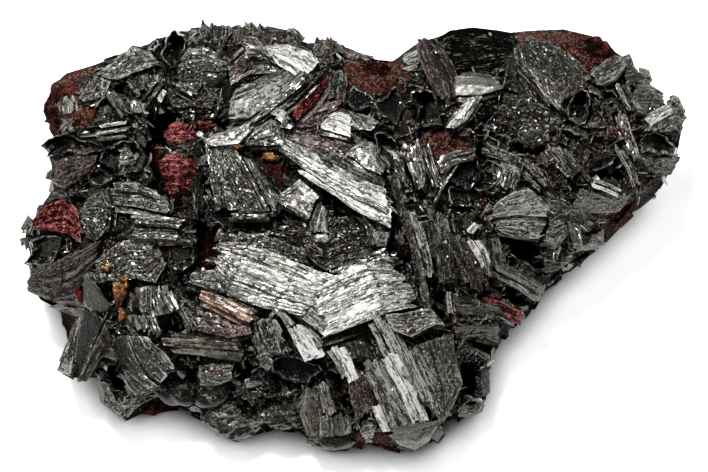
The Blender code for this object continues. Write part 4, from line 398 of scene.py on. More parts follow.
    (4.6, -4, -4, 5, "ochre", [-42.7,-8.3, -40.4,-8.5], [-42,-10.8, -41.3,-12.4, -40.7,-11]),
    (5, -8, 0, 6, "smooth", [-38.1,-9.4, -37.7,-13.4], [-36.6,-8.7, -36.5,-13.4]),
    (4.6, 6, 0, 6, "steel", [-38.7,-14, -36.9,-17.2], [-37.4,-13.5, -35.9,-16.6]),
    (4.4, -6, 0, 6, "steel", [-36.6,-13, -34.8,-18], [-35.4,-12.8, -33.7,-17.4]),
    (4.8, -4, 0, 6, "steel", [-34.2,-9.8, -32.2,-13.9], [-32.9,-9.2, -31.2,-12.8]),
    (3.6, 8, 0, 5, "tan", [-35.6,-8.6, -34.6,-14], [-34.4,-8.4, -33,-14.2]),
    (4, 0, 8, 5, "steel", [-43.4,9.4, -39,9.8, -34.4,8], [-43.2,8, -38.6,7.6, -34,6.4]),
    (4, 0, -6, 5, "rough", [-43,7, -38,6.8, -32.6,5.2], [-42.6,5.4, -38,5, -32.4,3.8]),
    (3.8, 0, 8, 5, "steel", [-39.6,3.6, -35,3.4, -30.4,2.6], [-39.4,2, -35,1.6, -30.6,1.2]),
    (4.4, 0, 8, 5, "steel", [-39.8,0.4, -35,0.8, -31,0.4], [-39.6,-0.7, -35,-0.6, -31,-0.8]),
    (3.6, 0, 6, 5, "rust", [-34.6,-0.6, -30,-0.5, -28.2,-0.8], [-34.6,-1.8, -30,-1.6, -28.4,-2]),
    (3, -4, 0, 5, "rough", [-48,6.4, -45,8, -43.6,5], [-48.4,1.2, -46,-1.2, -43.8,1]),
    (1.4, -6, 4, 3, "slate", [-42.4,15.4, -39.8,16.4], [-41.6,12.4, -38.8,12.6]),
    (4, -14, 2, 4, "petal", [-42.6,-18, -41.4,-21.6, -39,-25, -36.4,-27], [-40.4,-17.4, -38.6,-21.4,
     -36.6,-24.8, -34.6,-26.4]),
    (4.9, -12, 2, 4, "petal", [-39.8,-17.6, -38.2,-21.2, -36,-24.6, -34,-25.8], [-37.6,-17.8, -35.4,-20.6,
     -33.8,-23.2, -32.8,-24.6]),
    (5.4, -8, 2, 4, "petal", [-37.2,-18.2, -35.2,-21.6, -33.6,-23.6], [-35.6,-19.2, -33.8,-20.8,
     -32.2,-23.4]),
    (2.8, -4, 2, 4, "petal", [-41.2,-23, -39.5,-26.2, -38,-28], [-38.2,-25, -36.8,-27.1, -34.4,-27]),
    (1.8, -6, -8, 4, "rough", [-45.2,-25.2, -44.8,-29.8, -41,-32.4], [-43.6,-26.2, -42,-29.4, -39,-30.6]),
    (1.6, 0, -10, 4, "rough", [-41.6,-29.2, -38.4,-28.2, -34.4,-27.4], [-40.4,-32.6, -39,-30.8, -36,-29]),
    (3.6, 0, -8, 5, "grain", [-28,-23, -25.4,-22.4, -21.2,-22.8], [-27.4,-26, -24,-26.2, -21.6,-25.4]),
)]

# open crystals: lift of the rim over the crust, depth, how the floor shifts, the mouth
OPEN_CRYSTALS = [(*row[:3], points(row[3])) for row in (
    (2.2, 6, (1, 2), [-55.6,16, -53.6,17.9, -50,17.8, -46.6,16.6, -45,15, -48,14.8, -54.4,14.7]),
    (3, 6, (0, 1), [-44.8,13.2, -43.6,15.5, -41,16.7, -38.2,16, -37.4,13.8, -38.6,11.8, -42.4,11.6]),
    (3, 3, (0, 1), [-47.2,10.4, -44.8,11.6, -42.4,10.2, -44.6,9.4]),
    (2.4, 9, (1, 2), [-34.2,35, -32,37.2, -30.7,35.6, -30.3,33.4, -31.5,31, -32.7,30.2, -33.9,31.6]),
    (2, 3, (0, 1), [-37.5,34.2, -36,34.9, -35,34, -35.6,32.9]),
    (4, 9, (0, 3), [3.7,17.5, 7,17.6, 8.4,13.2, 10.6,8.6, 9.4,8, 6,12]),
    (3.2, 9, (1, 2), [10.3,25.5, 13.8,25.7, 14.9,23.6, 15.8,19.1, 12.8,19.4, 10.4,19.3, 11.4,23]),
    (3.2, 4, (0, 1), [0,25.8, 3.6,24, 3.7,22.8, 1.6,22.4, -1.2,23.4]),
    (3.4, 3.5, (0, 1), [4.2,23.8, 5.6,24.9, 6.1,26.2, 7,26.8, 9.3,22.9, 8,20.4, 5,20.8]),
    (2.6, 3, (0, 1), [-4.4,32.2, -2.8,32.6, -2,31.4, -3.4,30.8]),
    (3, 9, (0, 2), [38.9,25.4, 41.1,25.9, 42.2,23.6, 42.2,21.6, 41.4,20.2, 38.2,20.2, 38.4,22.6]),
    (2.8, 5, (0, 1), [44.4,26, 46,25.8, 46.5,24.4, 45.4,23.2, 44.4,24]),
    (2.6, 7, (0, 2), [50.6,17, 53.6,18.8, 55.6,17.9, 58,16.2, 57.4,14.8, 54,14.2, 51.4,15.2]),
    (2.6, 3.5, (0, 1), [42.6,18, 44.4,17.4, 44.2,15.6, 42.4,15.8]),
    (2.6, 3, (0, 1), [36.6,17.4, 38,17, 37.8,15.8, 36.6,16]),
    (3.4, 7, (1, 2), [18.6,13, 21.7,13.2, 22,10.4, 20.8,8.2, 18.6,9.4, 17,10.6]),
    (3, 6, (0, 1), [16.6,8, 19.6,7.6, 20.4,5.4, 17.4,5.2]),
    (3.4, 5, (0, 1), [-14.4,-22.2, -12.4,-21.8, -9,-21.9, -6.6,-22.6, -5.6,-24, -7.6,-25.6, -11,-25.8,
     -13.8,-24.4]),
    (2.2, 6, (1, 1), [-58.6,-4.6, -57.5,-1, -56.2,0, -53.4,0.1, -52.4,-1, -53.2,-3.6, -54,-4.5]),
    (3, 3.5, (0, 1), [1,-31.8, 2.8,-30.8, 3.9,-32, 2.2,-32.6, 0.9,-33.8]),
    (3, 4, (0, 1), [-32.8,-2.4, -29,-2, -28.6,-5.6, -32.4,-5.8]),
)]

# gaps between crystals: depth, the mouth
PITS = [(deep, points(mouth)) for deep, mouth in (
    (1.2, [-18.6,15.1, -14,15.4, -12,13.6, -9.6,11, -13,8.2, -16.4,11.4]),
    (5, [-37,17, -33.8,17.4, -34.6,12.6, -34.2,8, -36.4,8.2, -36.8,12]),
    (6, [-37,21.6, -33.2,23, -28.8,21.6, -31,20.2, -33.4,17, -35.4,12.4, -37.2,15]),
    (6, [-25.2,22, -22.6,21.4, -22.2,18.9, -24.6,18.1, -25.4,19.6]),
    (4, [-43.2,27.2, -41,27.8, -40.4,25.4, -41,23.8]),
    (12, [-28.6,2.6, -26.4,3.2, -24.2,1.4, -24.2,-1.6, -24.2,-3.6, -26,-5.8, -28.6,-6.4, -29.2,-4,
     -28.6,-1]),
    (6, [-6,7.6, -4.4,7.6, -2,5, 0.4,4.2, -2.4,3.2, -4.4,3.8, -5.4,5]),
    (8, [6.2,-0.8, 8,-1.4, 10,-3.7, 9.7,-5.3, 7.5,-4.7, 5.4,-2.4]),
    (4, [-20.4,2.2, -15.2,2.3, -15,1.2, -19.4,1]),
    (4, [-28,8.6, -25.6,10.4, -25.2,7.4, -27.4,6.6]),
    (7, [14,-8, 15.6,-9.6, 16,-14.4, 14.8,-15.2, 13.9,-12.8]),
    (7, [25.4,0.2, 31,-1, 33,-2.8, 33.6,-5.4, 31.4,-5.6, 28.4,-3.9, 26,-1.4]),
    (6, [24.4,-8.2, 29,-10, 31.4,-12.6, 27,-11.8, 24,-10]),
    (9, [-3.4,-22.4, -2.3,-24.2, -1.6,-27.2, -0.4,-30.8, -1.8,-31.4, -3.4,-28.4, -4.5,-24.6]),
    (7, [-30.8,-21, -20,-22.5, -17.8,-23, -18.2,-26, -20.6,-27.4, -21,-24, -24,-21.9]),
    (5, [-46,-22.9, -42.2,-22.6, -40.8,-25.4, -39.8,-27.4, -43,-27.6, -44.6,-25]),
    (6, [18.9,-22.6, 20.8,-22.4, 21.6,-26.4, 21,-29.6, 19,-29.8]),
    (5, [20.8,-18.6, 25,-19.8, 24.6,-21, 21.2,-19.8]),
    (4.5, [42.4,12.2, 47.4,12.4, 48,10.4, 45,9.8, 42.2,10.6]),
    (4.5, [28.8,16.6, 31,15.6, 34,15.9, 32.6,14.4, 29.4,14.6]),
    (5, [22.4,18.6, 23.4,16.6, 23.2,13.4, 21.8,13.8]),
    (5, [-13.2,-14.6, -12.4,-15, -10.2,-20.4, -11.4,-20.8]),
    (4, [-49.8,6.8, -48,7.6, -47.6,5.4, -49.4,4.6]),
    (3.5, [-14.2,-1.6, -12,-1.8, -12,-3, -13.6,-2.8]),
    (4, [-17.6,-18.2, -16.4,-18.4, -15.6,-20.6, -16.8,-20.2]),
    (5, [-36.6,-14.2, -31.6,-14.6, -29,-16.6, -33.4,-17.6, -34.2,-16]),
)]

# rough lumps: across, up, two radii, lift, finish
LUMPS = [(-30.4, 17.9, 3.2, 2.1, 0.6, "red"), (-30.6, 12, 4.2, 2.5, 1.5, "red"),
    (-30.8, 8.6, 3.2, 1.6, 0.9, "red"), (-26.6, 19.6, 1.8, 1.2, 0.9, "red"),
    (-5.7, -0.5, 1.4, 0.95, 3.2, "bright"), (-16.3, -3.7, 0.75, 0.65, 4.7, "bright"),
    (-23.9, -23.8, 0.9, 0.6, 3.6, "copper"), (-41.3, -10, 1.2, 1.5, 4.6, "ochre"),
    (-43.8, -5.6, 0.8, 0.6, 4, "ochre"), (-45.8, -7.8, 0.6, 0.9, 3.6, "ochre"),
    (-41, -14, 0.8, 1.4, 2.6, "ochre"), (-38.5, -11, 0.6, 0.9, 3.2, "ochre"),
    (-20.5, 15.8, 1.1, 0.5, 4, "ochre"), (-14.9, 14.1, 1.4, 0.9, 0.4, "ochre"),
    (-31, -27, 3.6, 3.4, 2.6, "smooth"), (-25.4, -27.6, 3.4, 2.6, 2, "smooth"),
    (-21.6, -32, 6, 3.6, 1.2, "green"), (-13, -31, 5.4, 2.9, 1.2, "green"),
    (-4, -36, 4.4, 1.9, 0.6, "dark")]

CORNERS = np.array(OUTLINE, float)
LATTICE = np.random.default_rng(11).random((256, 256))
ENDS = np.array([-0.5, 0.5])


def share(x, y):
    """How far places are from the middle, as shares of the way to the outline."""
    (ax, ay), (bx, by) = CORNERS.T, np.roll(CORNERS, -1, 0).T
    dx, dy = bx - ax, by - ay
    x, y = np.asarray(x, float)[..., None], np.asarray(y, float)[..., None]
    det = dx * y - x * dy
    det = np.where(np.abs(det) < 1e-9, 1e-9, det)
    reach, along = (dx * ay - ax * dy) / det, (x * ay - y * ax) / det
    reach = np.where((reach > 0) & (along >= -1e-9) & (along <= 1 + 1e-9), reach, np.inf).min(-1)
    return 1 / np.maximum(reach, 1e-9)


def rim(y):
    """The rim's height over the display face."""
    return RIM_OUT + RIM_LEAN * y


def dome(x, y):
    """The crust's smooth outer surface over the display face."""
    part = share(x, y)
    inside = rim(y) + CROWN * (1 - np.minimum(part, 1) ** 2.4) ** 0.55
    for across, up, reach, rise in SWELLS:
        inside = inside + rise * np.exp(-((x - across) ** 2 + (y - up) ** 2) / reach ** 2)
    return np.where(part >= 1, rim(y) - 1.2 * (part - 1) * np.hypot(x, y), inside)


def slope(x, y, step=1.5, steepest=0.7):
    """The dome's fall across and up at a place."""
    across = (dome(x + step, y) - dome(x - step, y)) / (2 * step)
    up = (dome(x, y + step) - dome(x, y - step)) / (2 * step)
    return np.clip(across, -steepest, steepest), np.clip(up, -steepest, steepest)


def world(x, y, out):
    """Places on the display face, in metres in the part's own frame."""
    return MM * np.stack([PLANE_AT[0] + x,
                          PLANE_AT[1] + y * math.sin(LEAN) - out * math.cos(LEAN),
                          PLANE_AT[2] + y * math.cos(LEAN) + out * math.sin(LEAN)], -1)


def turned(x, y, out):
    """Directions on the display face, in the part's own frame."""
    return np.stack([x, y * math.sin(LEAN) - out * math.cos(LEAN),
                     y * math.cos(LEAN) + out * math.sin(LEAN)], -1)


def drawn(i, j):
    return LATTICE[i & 255, j & 255]


def ripple(x, y, seed=0):
    """Smooth random heights from 0 to 1, one bump to a unit."""
    x, y = np.asarray(x) + 37.7 * seed, np.asarray(y) + 91.3 * seed
    xi, yi = np.floor(x).astype(int), np.floor(y).astype(int)
    fx, fy = x - xi, y - yi
    fx, fy = fx * fx * (3 - 2 * fx), fy * fy * (3 - 2 * fy)
    near = drawn(xi, yi) * (1 - fx) + drawn(xi + 1, yi) * fx
    far = drawn(xi, yi + 1) * (1 - fx) + drawn(xi + 1, yi + 1) * fx
    return near * (1 - fy) + far * fy


def chips(x, y, seed=0):
    """Broken facets, one to a unit: their heights, how far a place is from a crack, and their numbers."""
    x, y = np.asarray(x) + 17.3 * seed, np.asarray(y) + 5.9 * seed
    xi, yi = np.floor(x).astype(int), np.floor(y).astype(int)
    first, second = np.full(x.shape, 9.0), np.full(x.shape, 9.0)
    height, number = np.zeros(x.shape), np.zeros(x.shape)
    for i in (-1, 0, 1):
        for j in (-1, 0, 1):
            cx, cy = xi + i, yi + j
            dx, dy = x - cx - drawn(cx, cy), y - cy - drawn(cx + 101, cy + 57)
            gone = np.hypot(dx, dy)
            nearer, own = gone < first, drawn(cx + 7, cy + 13)
            tilted = (own + 1.6 * (drawn(cx + 31, cy + 3) - 0.5) * dx
                      + 1.6 * (drawn(cx + 5, cy + 77) - 0.5) * dy)
            second = np.where(nearer, first, np.minimum(second, gone))
            height, number = np.where(nearer, tilted, height), np.where(nearer, own, number)
            first = np.minimum(first, gone)
    return height, np.minimum(second - first, 1), number


def smoothed(height, reach):
    """A grid of heights with each the mean of those about it."""
    span = 2 * reach + 1
    for axis in (0, 1):
        padded = np.pad(height, [(reach, reach) if a == axis else (0, 0) for a in (0, 1)], mode="edge")
        count = height.shape[axis]
        height = sum(np.take(padded, range(k, k + count), axis) for k in range(span)) / span
    return height


def edge_distance(x, y, outline):
    """How far places are inside an outline; negative outside."""
    (ax, ay), (bx, by) = np.array(outline, float).T, np.roll(np.array(outline, float), -1, 0).T
    x, y = np.asarray(x, float)[..., None], np.asarray(y, float)[..., None]
    dx, dy = bx - ax, by - ay
    along = np.clip(((x - ax) * dx + (y - ay) * dy) / (dx * dx + dy * dy), 0, 1)
    gone = np.hypot(x - ax - along * dx, y - ay - along * dy).min(-1)
    with np.errstate(divide="ignore", invalid="ignore"):
        crossed = ((ay > y) != (by > y)) & (x < ax + dx * (y - ay) / np.where(dy == 0, 1e-9, dy))
    return np.where(crossed.sum(-1) % 2 == 1, gone, -gone)


def turn(outline):
    """1 for an anticlockwise outline, -1 for a clockwise one."""
    area = sum(a[0] * b[1] - b[0] * a[1] for a, b in zip(outline, outline[1:] + outline[:1]))
    return 1 if area > 0 else -1


def middle(outline):
    return tuple(sum(p[i] for p in outline) / len(outline) for i in (0, 1))


def outline_of(blade):
    return blade.edge + blade.other_edge[::-1]


def flat_over(at, lift, across=0.0, up=0.0):
    """The height of a flat face that lies over the dome at a place and tilts by two angles."""
    fall = slope(*at)
    gx, gy = fall[0] + math.tan(math.radians(across)), fall[1] + math.tan(math.radians(up))
    height = dome(*at) + lift
    return lambda x, y: height + gx * (x - at[0]) + gy * (y - at[1])


def painted_sheen(x, y):
    """Painted sheen: how much brighter the crust is painted at a place, or with a negative gain darker."""
    return sum(gain * np.exp(-((x - across) ** 2 + (y - up) ** 2) / reach ** 2)
               for across, up, reach, gain in PAINTED_SHEEN_PLACES)


def along_edge(edge, part):
    """Places along an open edge, by shares of its length."""
    edge = np.array(edge, float)
    gone = np.concatenate([[0], np.cumsum(np.hypot(*np.diff(edge, axis=0).T))])
    part = part * gone[-1]
    return np.interp(part, gone, edge[:, 0]), np.interp(part, gone, edge[:, 1])


def edge_length(edge):
    return sum(math.dist(p, q) for p, q in zip(edge, edge[1:]))


def grain_of(x, y):
    """The direction and the number of the crystal nearest to each place."""
    nearest, heading, number = np.full(np.shape(x), 1e9), np.zeros(np.shape(x)), np.zeros(np.shape(x), int)
    for i, blade in enumerate(BLADES):
        ax, ay = middle([blade.edge[0], blade.other_edge[0]])
        bx, by = middle([blade.edge[-1], blade.other_edge[-1]])
        for part in (0.15, 0.5, 0.85):
            gone = np.hypot(x - ax - (bx - ax) * part, y - ay - (by - ay) * part)
            nearer = gone < nearest
            heading = np.where(nearer, math.atan2(by - ay, bx - ax), heading)
            number, nearest = np.where(nearer, i, number), np.minimum(nearest, gone)
    return heading, number


def read(items, field, width=1, kind=np.float32):
    """A field of a mesh's items, a row to an item."""
    values = np.zeros(len(items) * width, kind)
    items.foreach_get(field, values)
    return values.reshape(-1, width) if width > 1 else values


def chart_and_shade(data, lengthwise, shades):
    """Give a mesh its lengthwise map in mm and its shades, from values by vertex."""
    ends = read(data.loops, "vertex_index", kind=np.int32)
    places = lengthwise.astype(np.float32)[ends]
    data.uv_layers.new(name="Lengthwise").data.foreach_set("uv", places.ravel())
    tone = data.color_attributes.new("Shade", "FLOAT_COLOR", "POINT")
    opaque = np.column_stack([shades.astype(np.float32), np.ones(len(shades))])
    tone.data.foreach_set("color", opaque.astype(np.float32).ravel())


class Bank:
    """Closed shells of one finish, gathered to become one piece."""

    def __init__(self, foot=FOOT * MM):
        self.points, self.faces, self.lengthwise, self.shades = [], [], [], []
        self.count, self.foot = 0, foot

    def add(self, places, faces, lengthwise, shades):
        places[:, 2] = np.maximum(places[:, 2], self.foot)
        self.points.append(places)
        self.lengthwise.append(lengthwise)
        self.shades.append(shades)
        self.faces.extend([tuple(i + self.count for i in face) for face in faces])
        self.count += len(places)

    def mesh(self, name, crease=14):
        """The bank as one mesh; edges sharper than the crease stay sharp."""
        data = bpy.data.meshes.new(name)
        data.from_pydata(np.concatenate(self.points).tolist(), [], self.faces)
        chart_and_shade(data, np.concatenate(self.lengthwise), np.concatenate(self.shades))
        data.validate()
        data.shade_smooth()
        data.set_sharp_from_angle(angle=math.radians(crease))
        return data


def shell_faces(rows, columns, sides):
    """Faces of a grid with rings of skirt round it and a bottom, and the loop round the grid."""
    cells = [(i * columns + j, (i + 1) * columns + j, (i + 1) * columns + j + 1, i * columns + j + 1)
             for i in range(rows - 1) for j in range(columns - 1)]
    last = (rows - 1) * columns
    loop = [i * columns for i in range(rows - 1)] + [last + j for j in range(columns - 1)]
    loop += [i * columns + columns - 1 for i in range(rows - 1, 0, -1)] + list(range(columns - 1, 0, -1))
    upper, count, start = loop, len(loop), rows * columns
    for ring in range(sides):
        lower = list(range(start + ring * count, start + (ring + 1) * count))
        cells += [(upper[i], lower[i], lower[(i + 1) % count], upper[(i + 1) % count]) for i in range(count)]
        upper = lower
    cells.append(tuple(reversed(upper)))
    return cells, loop


def add_crystal(bank, one_edge, other_edge, face, deep, look, pick, fine=1.0):
    """A splintered crystal between two long edges: sheets broken away in steps, grooves, ragged ends."""
    length = (edge_length(one_edge) + edge_length(other_edge)) / 2
    part = np.linspace(0, 1, 9)
    gap = np.hypot(*(np.array(along_edge(one_edge, part)) - np.array(along_edge(other_edge, part))))
    width = float(gap.mean())
    rows = int(min(110, max(5, length / (0.30 * fine))))
    columns = int(min(100, max(5, width / (0.18 * fine))))
    seed = pick.randrange(200)
    u, v = np.linspace(0, 1, rows)[:, None], np.linspace(0, 1, columns)[None, :]
    # ends splinter lath by lath, and the long edges chip
    ragged = look.ragged * (0.5 + 0.05 * length)
    ends = [ragged * (np.floor(5 * ripple(v * width / 0.9, 0 * v, seed + k) ** 2) / 5
                      + 0.25 * ripple(v * width / 0.3, 0 * v, seed + k + 9)) / length for k in (0, 1)]
    chipped = [0.3 * ragged * (np.floor(4 * ripple(u * length / 2.6, 0 * u, seed + k) ** 2) / 4
                               + 0.15 * ripple(u * length / 0.5, 0 * u, seed + k + 9)) / width
               for k in (2, 3)]
    ends, chipped = [np.minimum(e, 0.3) for e in ends], [np.minimum(e, 0.3) for e in chipped]
    u, v = ends[0] + (1 - ends[0] - ends[1]) * u, chipped[0] + (1 - chipped[0] - chipped[1]) * v
    ax, ay = along_edge(one_edge, u)
    bx, by = along_edge(other_edge, u)
    x, y = ax + (bx - ax) * v, ay + (by - ay) * v
    along, over = u * length, v * width
    # laths side by side, each tilted and set a little differently
    count = max(1, round(width / (look.lath * pick.uniform(0.8, 1.2))))
    cuts = np.cumsum([0.0] + [pick.uniform(0.4, 1.6) for _ in range(count)])
    cuts *= width / cuts[-1]
    sway = over + 0.25 * (ripple(along / 5, 0 * along, seed + 11) - 0.5)
    lath = np.clip(np.searchsorted(cuts, sway) - 1, 0, count - 1)
    tilts, sets, tones = (np.array([pick.random() for _ in range(count)]) for _ in range(3))
    relief = 1.8 * look.step * (tilts[lath] - 0.5) * (sway - (cuts[lath] + cuts[lath + 1]) / 2)
    relief -= look.step * sets[lath] ** 1.5
    # sheets broken away in steps, longest along the crystal
    sheets = (0.65 * ripple(along / 4.2, over / 0.75, seed + 5)
              + 0.35 * ripple(along / 1.5, over / 0.3, seed + 6))
    level = np.floor(sheets * 5) / 5
    grooves = np.abs(ripple(along / 6, over / 0.27, seed + 7) - 0.5) * 2
    chip, _, number = chips(along / 0.9, over / 0.42, seed)
    relief += 0.8 * look.step * (level - 0.8) + look.groove * (grooves - 1)
    relief += look.grit * (chip - 0.6)
    relief -= pick.uniform(0.0, 0.25) * np.abs(over - pick.uniform(0.1, 0.9) * width) * (width < 4)
    relief += min(0.3, 0.05 * width) * (ripple(along / 6, over / 3, seed + 8) - 0.6)
    for _ in range(int(length / 5)):
        line = pick.uniform(0.15, 0.85) * length
        line = line + 1.2 * (ripple(over / 0.7, 0 * over, pick.randrange(99)) - 0.5)
        fall = pick.uniform(0.1, 0.7) * look.step
        relief -= fall * ((along > line) if pick.random() < 0.5 else (along < line))
    border = np.zeros((rows, columns))
    border[[0, 1, -2, -1], :] = 0.6
    border[:, [0, 1, -2, -1]] = 0.6
    border[[0, -1], :] = 1
    border[:, [0, -1]] = 1
    relief -= 0.06 * border
    out = face(x, y) + relief
    # painted shade: lighter on the ridges of the relief, darker in its hollows; then thin dark hairlines
    hollow = relief - smoothed(relief, 2)
    shade = np.clip(0.75 + 1.2 * hollow / (0.15 + look.step * 0.5), 0.12, 1)
    hairs = ripple(along / 3.5, over / 0.3, seed + 12)
    shade = np.where(np.abs(hairs - 0.5) < 0.035, 0.25 * shade, shade)
    # painted highlight: thin light edges round the face, patchy along its border, that raise the shade and
    # the tone
    glint_and_wear = border * np.clip(2 * ripple(along / 1.6 + over, over / 1.6, seed + 4) - 0.5, 0, 1)
    shade = np.maximum(shade, glint_and_wear)
    # the tone: each lath's, sheet's and facet's own, plus the crust's painted sheen and the painted edge
    # highlights
    tone = 0.6 * tones[lath] + 0.4 * level + 0.2 * (number - 0.5) + painted_sheen(x, y) + 0.6 * glint_and_wear
    own = np.full(x.shape, pick.random())
    chart = np.stack([along, over], -1)
    if turn(one_edge + other_edge[::-1]) < 0:
        x, y, out, shade, tone, chart = (g[:, ::-1] for g in (x, y, out, shade, tone, chart))
    rings = 3
    faces, loop = shell_faces(rows, columns, rings)
    lx, ly, lo = x.ravel()[loop], y.ravel()[loop], out.ravel()[loop]
    mx, my = middle(one_edge + other_edge)
    foot = face(lx, ly) - deep
    places = [world(x.ravel(), y.ravel(), out.ravel())]
    maps = [chart.reshape(-1, 2)]
    shades = [np.stack([shade.ravel(), own.ravel(), tone.ravel()], -1)]
    size = np.maximum(np.hypot(lx - mx, ly - my), 0.3)
    for ring, part in enumerate((0.14, 0.45, 1.0)):
        draw_in = 1 - (0.30 * ripple(lx * 1.7, ly * 1.7, seed + ring) + 0.10) * (0.4 + part) / size
        draw_in = np.maximum(draw_in, 0.55)
        places.append(world(mx + (lx - mx) * draw_in, my + (ly - my) * draw_in, lo + (foot - lo) * part))
        maps.append(maps[0][loop] + np.stack([0 * lx, 0.4 + 2.5 * part + 0 * lx], -1))
        # painted shade: the skirt's rings darker the lower they go
        shades.append(np.stack([0 * lx + (0.6, 0.3, 0.08)[ring], 0 * lx + own.flat[0],
                                tone.ravel()[loop]], -1))
    shift = np.array([pick.uniform(0, 50), pick.uniform(0, 50)])
    bank.add(np.concatenate(places), faces, np.concatenate(maps) + shift, np.concatenate(shades))


HOLES = [each[-1] for each in PITS + OPEN_CRYSTALS]


def under_sheets(blade, pick):
    """Broken sheets that show from under a crystal: the same way along, lower, and shifted to the sides."""
    lift, across, up, deep, finish, one_edge, other_edge = blade
    part = np.linspace(0, 1, 5)
    one, other = np.array(along_edge(one_edge, part)).T, np.array(along_edge(other_edge, part)).T
    centre = (one + other) / 2
    way = centre[-1] - centre[0]
    length = float(np.hypot(*way))
    width = float(np.hypot(*(one - other).T).mean())
    if length * width < 3.5:
        return []
    way = way / length
    side = np.array([-way[1], way[0]])
    found = []
    shifts = ((0.35, 1), (-0.3, -1), (0.6, 0.5), (-0.6, -0.4))[:3 if length * width < 40 else 4]
    for k, (reach_along, reach_side) in enumerate(shifts):
        shift = way * reach_along * pick.uniform(0.3, 1.6)
        shift = shift + side * reach_side * pick.uniform(0.5, 1.5)
        longer, wider = pick.uniform(0.75, 1.08), pick.uniform(0.7, 1.05)
        mid = centre.mean(0)
        edges = []
        for edge in (one, other):
            gone = edge - mid
            gone = way * (gone @ way)[:, None] * longer + side * (gone @ side)[:, None] * wider
            edges.append([tuple(p) for p in mid + shift + gone])
        outline = edges[0] + edges[1][::-1]
        ring = np.array(outline + outline[:1] + [tuple(mid + shift)])
        spans = np.roll(ring, -1, 0) - ring
        x, y = np.concatenate([ring + spans * part for part in (0, 0.25, 0.5, 0.75)]).T
        if not any((edge_distance(x, y, hole) > 0.25).any() for hole in HOLES):
            found.append(Blade(lift - 0.55 - 0.5 * k - pick.uniform(0, 0.4), across + pick.uniform(-7, 7),
                               up + pick.uniform(-7, 7), deep, finish if k == 0 else UNDER[finish], *edges))
    return found


def all_sheets():
    pick = random.Random(21)
    return [sheet for blade in BLADES for sheet in under_sheets(blade, pick)]


def ring_ends(around):
    """Each station of a ring with the one after it."""
    return list(zip(range(around), [*range(1, around), 0]))


def add_open_crystal(bank, mouth, lift, deep, lean, pick, terraces=5):
    """A hollow crystal: a thin ragged wall round a mouth that goes down in steps."""
    outline = mouth if turn(mouth) > 0 else mouth[::-1]
    at = middle(outline)
    face = flat_over(at, lift)
    ring = np.array(outline + outline[:1], float)
    gone = np.concatenate([[0], np.cumsum(np.hypot(*np.diff(ring, axis=0).T))])
    count = max(20, int(gone[-1] / 0.28))
    part = np.linspace(0, gone[-1], count, endpoint=False)
    x, y = np.interp(part, gone, ring[:, 0]), np.interp(part, gone, ring[:, 1])
    seed = pick.randrange(200)
    x, y = (g + 1.3 * (ripple(part / 2.1, 0 * part, seed + k) - 0.5)
            + 0.4 * (ripple(part / 0.6, 0 * part, seed + k + 2) - 0.5) for k, g in ((5, x), (6, y)))
    size = np.hypot(x - at[0], y - at[1])
    jag = np.floor(6 * ripple(part / 2.6, 0 * part, seed)) / 2
    jag = jag + 0.6 * ripple(part / 0.5, 0 * part, seed + 1) - 2.3
    thick = 0.08 + 0.22 * ripple(part / 1.2, 0 * part + 3, seed + 2)
    # rows: inset from the mouth, height, and dim, a painted shade that darkens down the outer wall and step
    # by step into the hollow; the crest keeps its full colour
    rows = [(1.6 * thick + 0.3, -0.6 * deep + 0 * part, 0.05), (1.2 * thick + 0.2, -1.6 + jag, 0.25),
            (1.0 * thick + 0.05, -0.35 + jag, 0.6), (0.7 * thick, jag, 1.0), (0 * thick, jag - 0.03, 1.0),
            (-0.1 + 0 * thick, jag - 0.35, 0.5)]
    for step in range(terraces):
        low = -1.5 - (step + 0.2) * (deep - 1.5) / terraces
        inner = 0.15 + 0.1 * step * size
        glint_and_wear = 0.25 * ripple(part / 0.8, 0 * part, seed + step)
        rows.append((-inner - glint_and_wear, low + 0.4 * jag, 0.32 / (1 + step)))
        rows.append((-inner - 0.2 - glint_and_wear, low - 0.15 + 0.4 * jag, 0.5 / (1 + step)))
    rows.append((-0.88 * size, -deep + 0 * part, 0.02))
    places, maps, shades = [], [], []
    for offset, height, dim in rows:
        scale = np.maximum((size + offset) / size, 0.1)
        sunk = np.clip(-np.mean(height) / deep, 0, 1) if np.mean(offset) < 0 else 0
        if sunk > 0.2:
            height = height + 1.6 * (ripple(part / 0.6, 0 * part, seed + len(places)) - 0.5)
        px = at[0] + (x - at[0]) * scale + lean[0] * sunk
        py = at[1] + (y - at[1]) * scale + lean[1] * sunk
        places.append(world(px, py, face(px, py) + height))
        maps.append(np.stack([part, 0 * x + np.mean(height)], -1))
        # the painted shade and the crest's lightness vary patchily round the mouth
        glint_and_wear = 0.35 + 0.65 * ripple(part / 0.9, 0 * part, seed + 8)
        shades.append(np.stack([dim * glint_and_wear, np.full(count, 0.5), ripple(part / 0.8, 0 * part, seed)], -1))
    starts = [r * count for r in range(len(rows))]
    faces = [(here + i, here + j, here + count + j, here + count + i)
             for here in starts[:-1] for i, j in ring_ends(count)]
    faces += [tuple(starts[-1] + i for i in range(count)), tuple(reversed(range(count)))]
    bank.add(np.concatenate(places), faces, np.concatenate(maps), np.concatenate(shades))


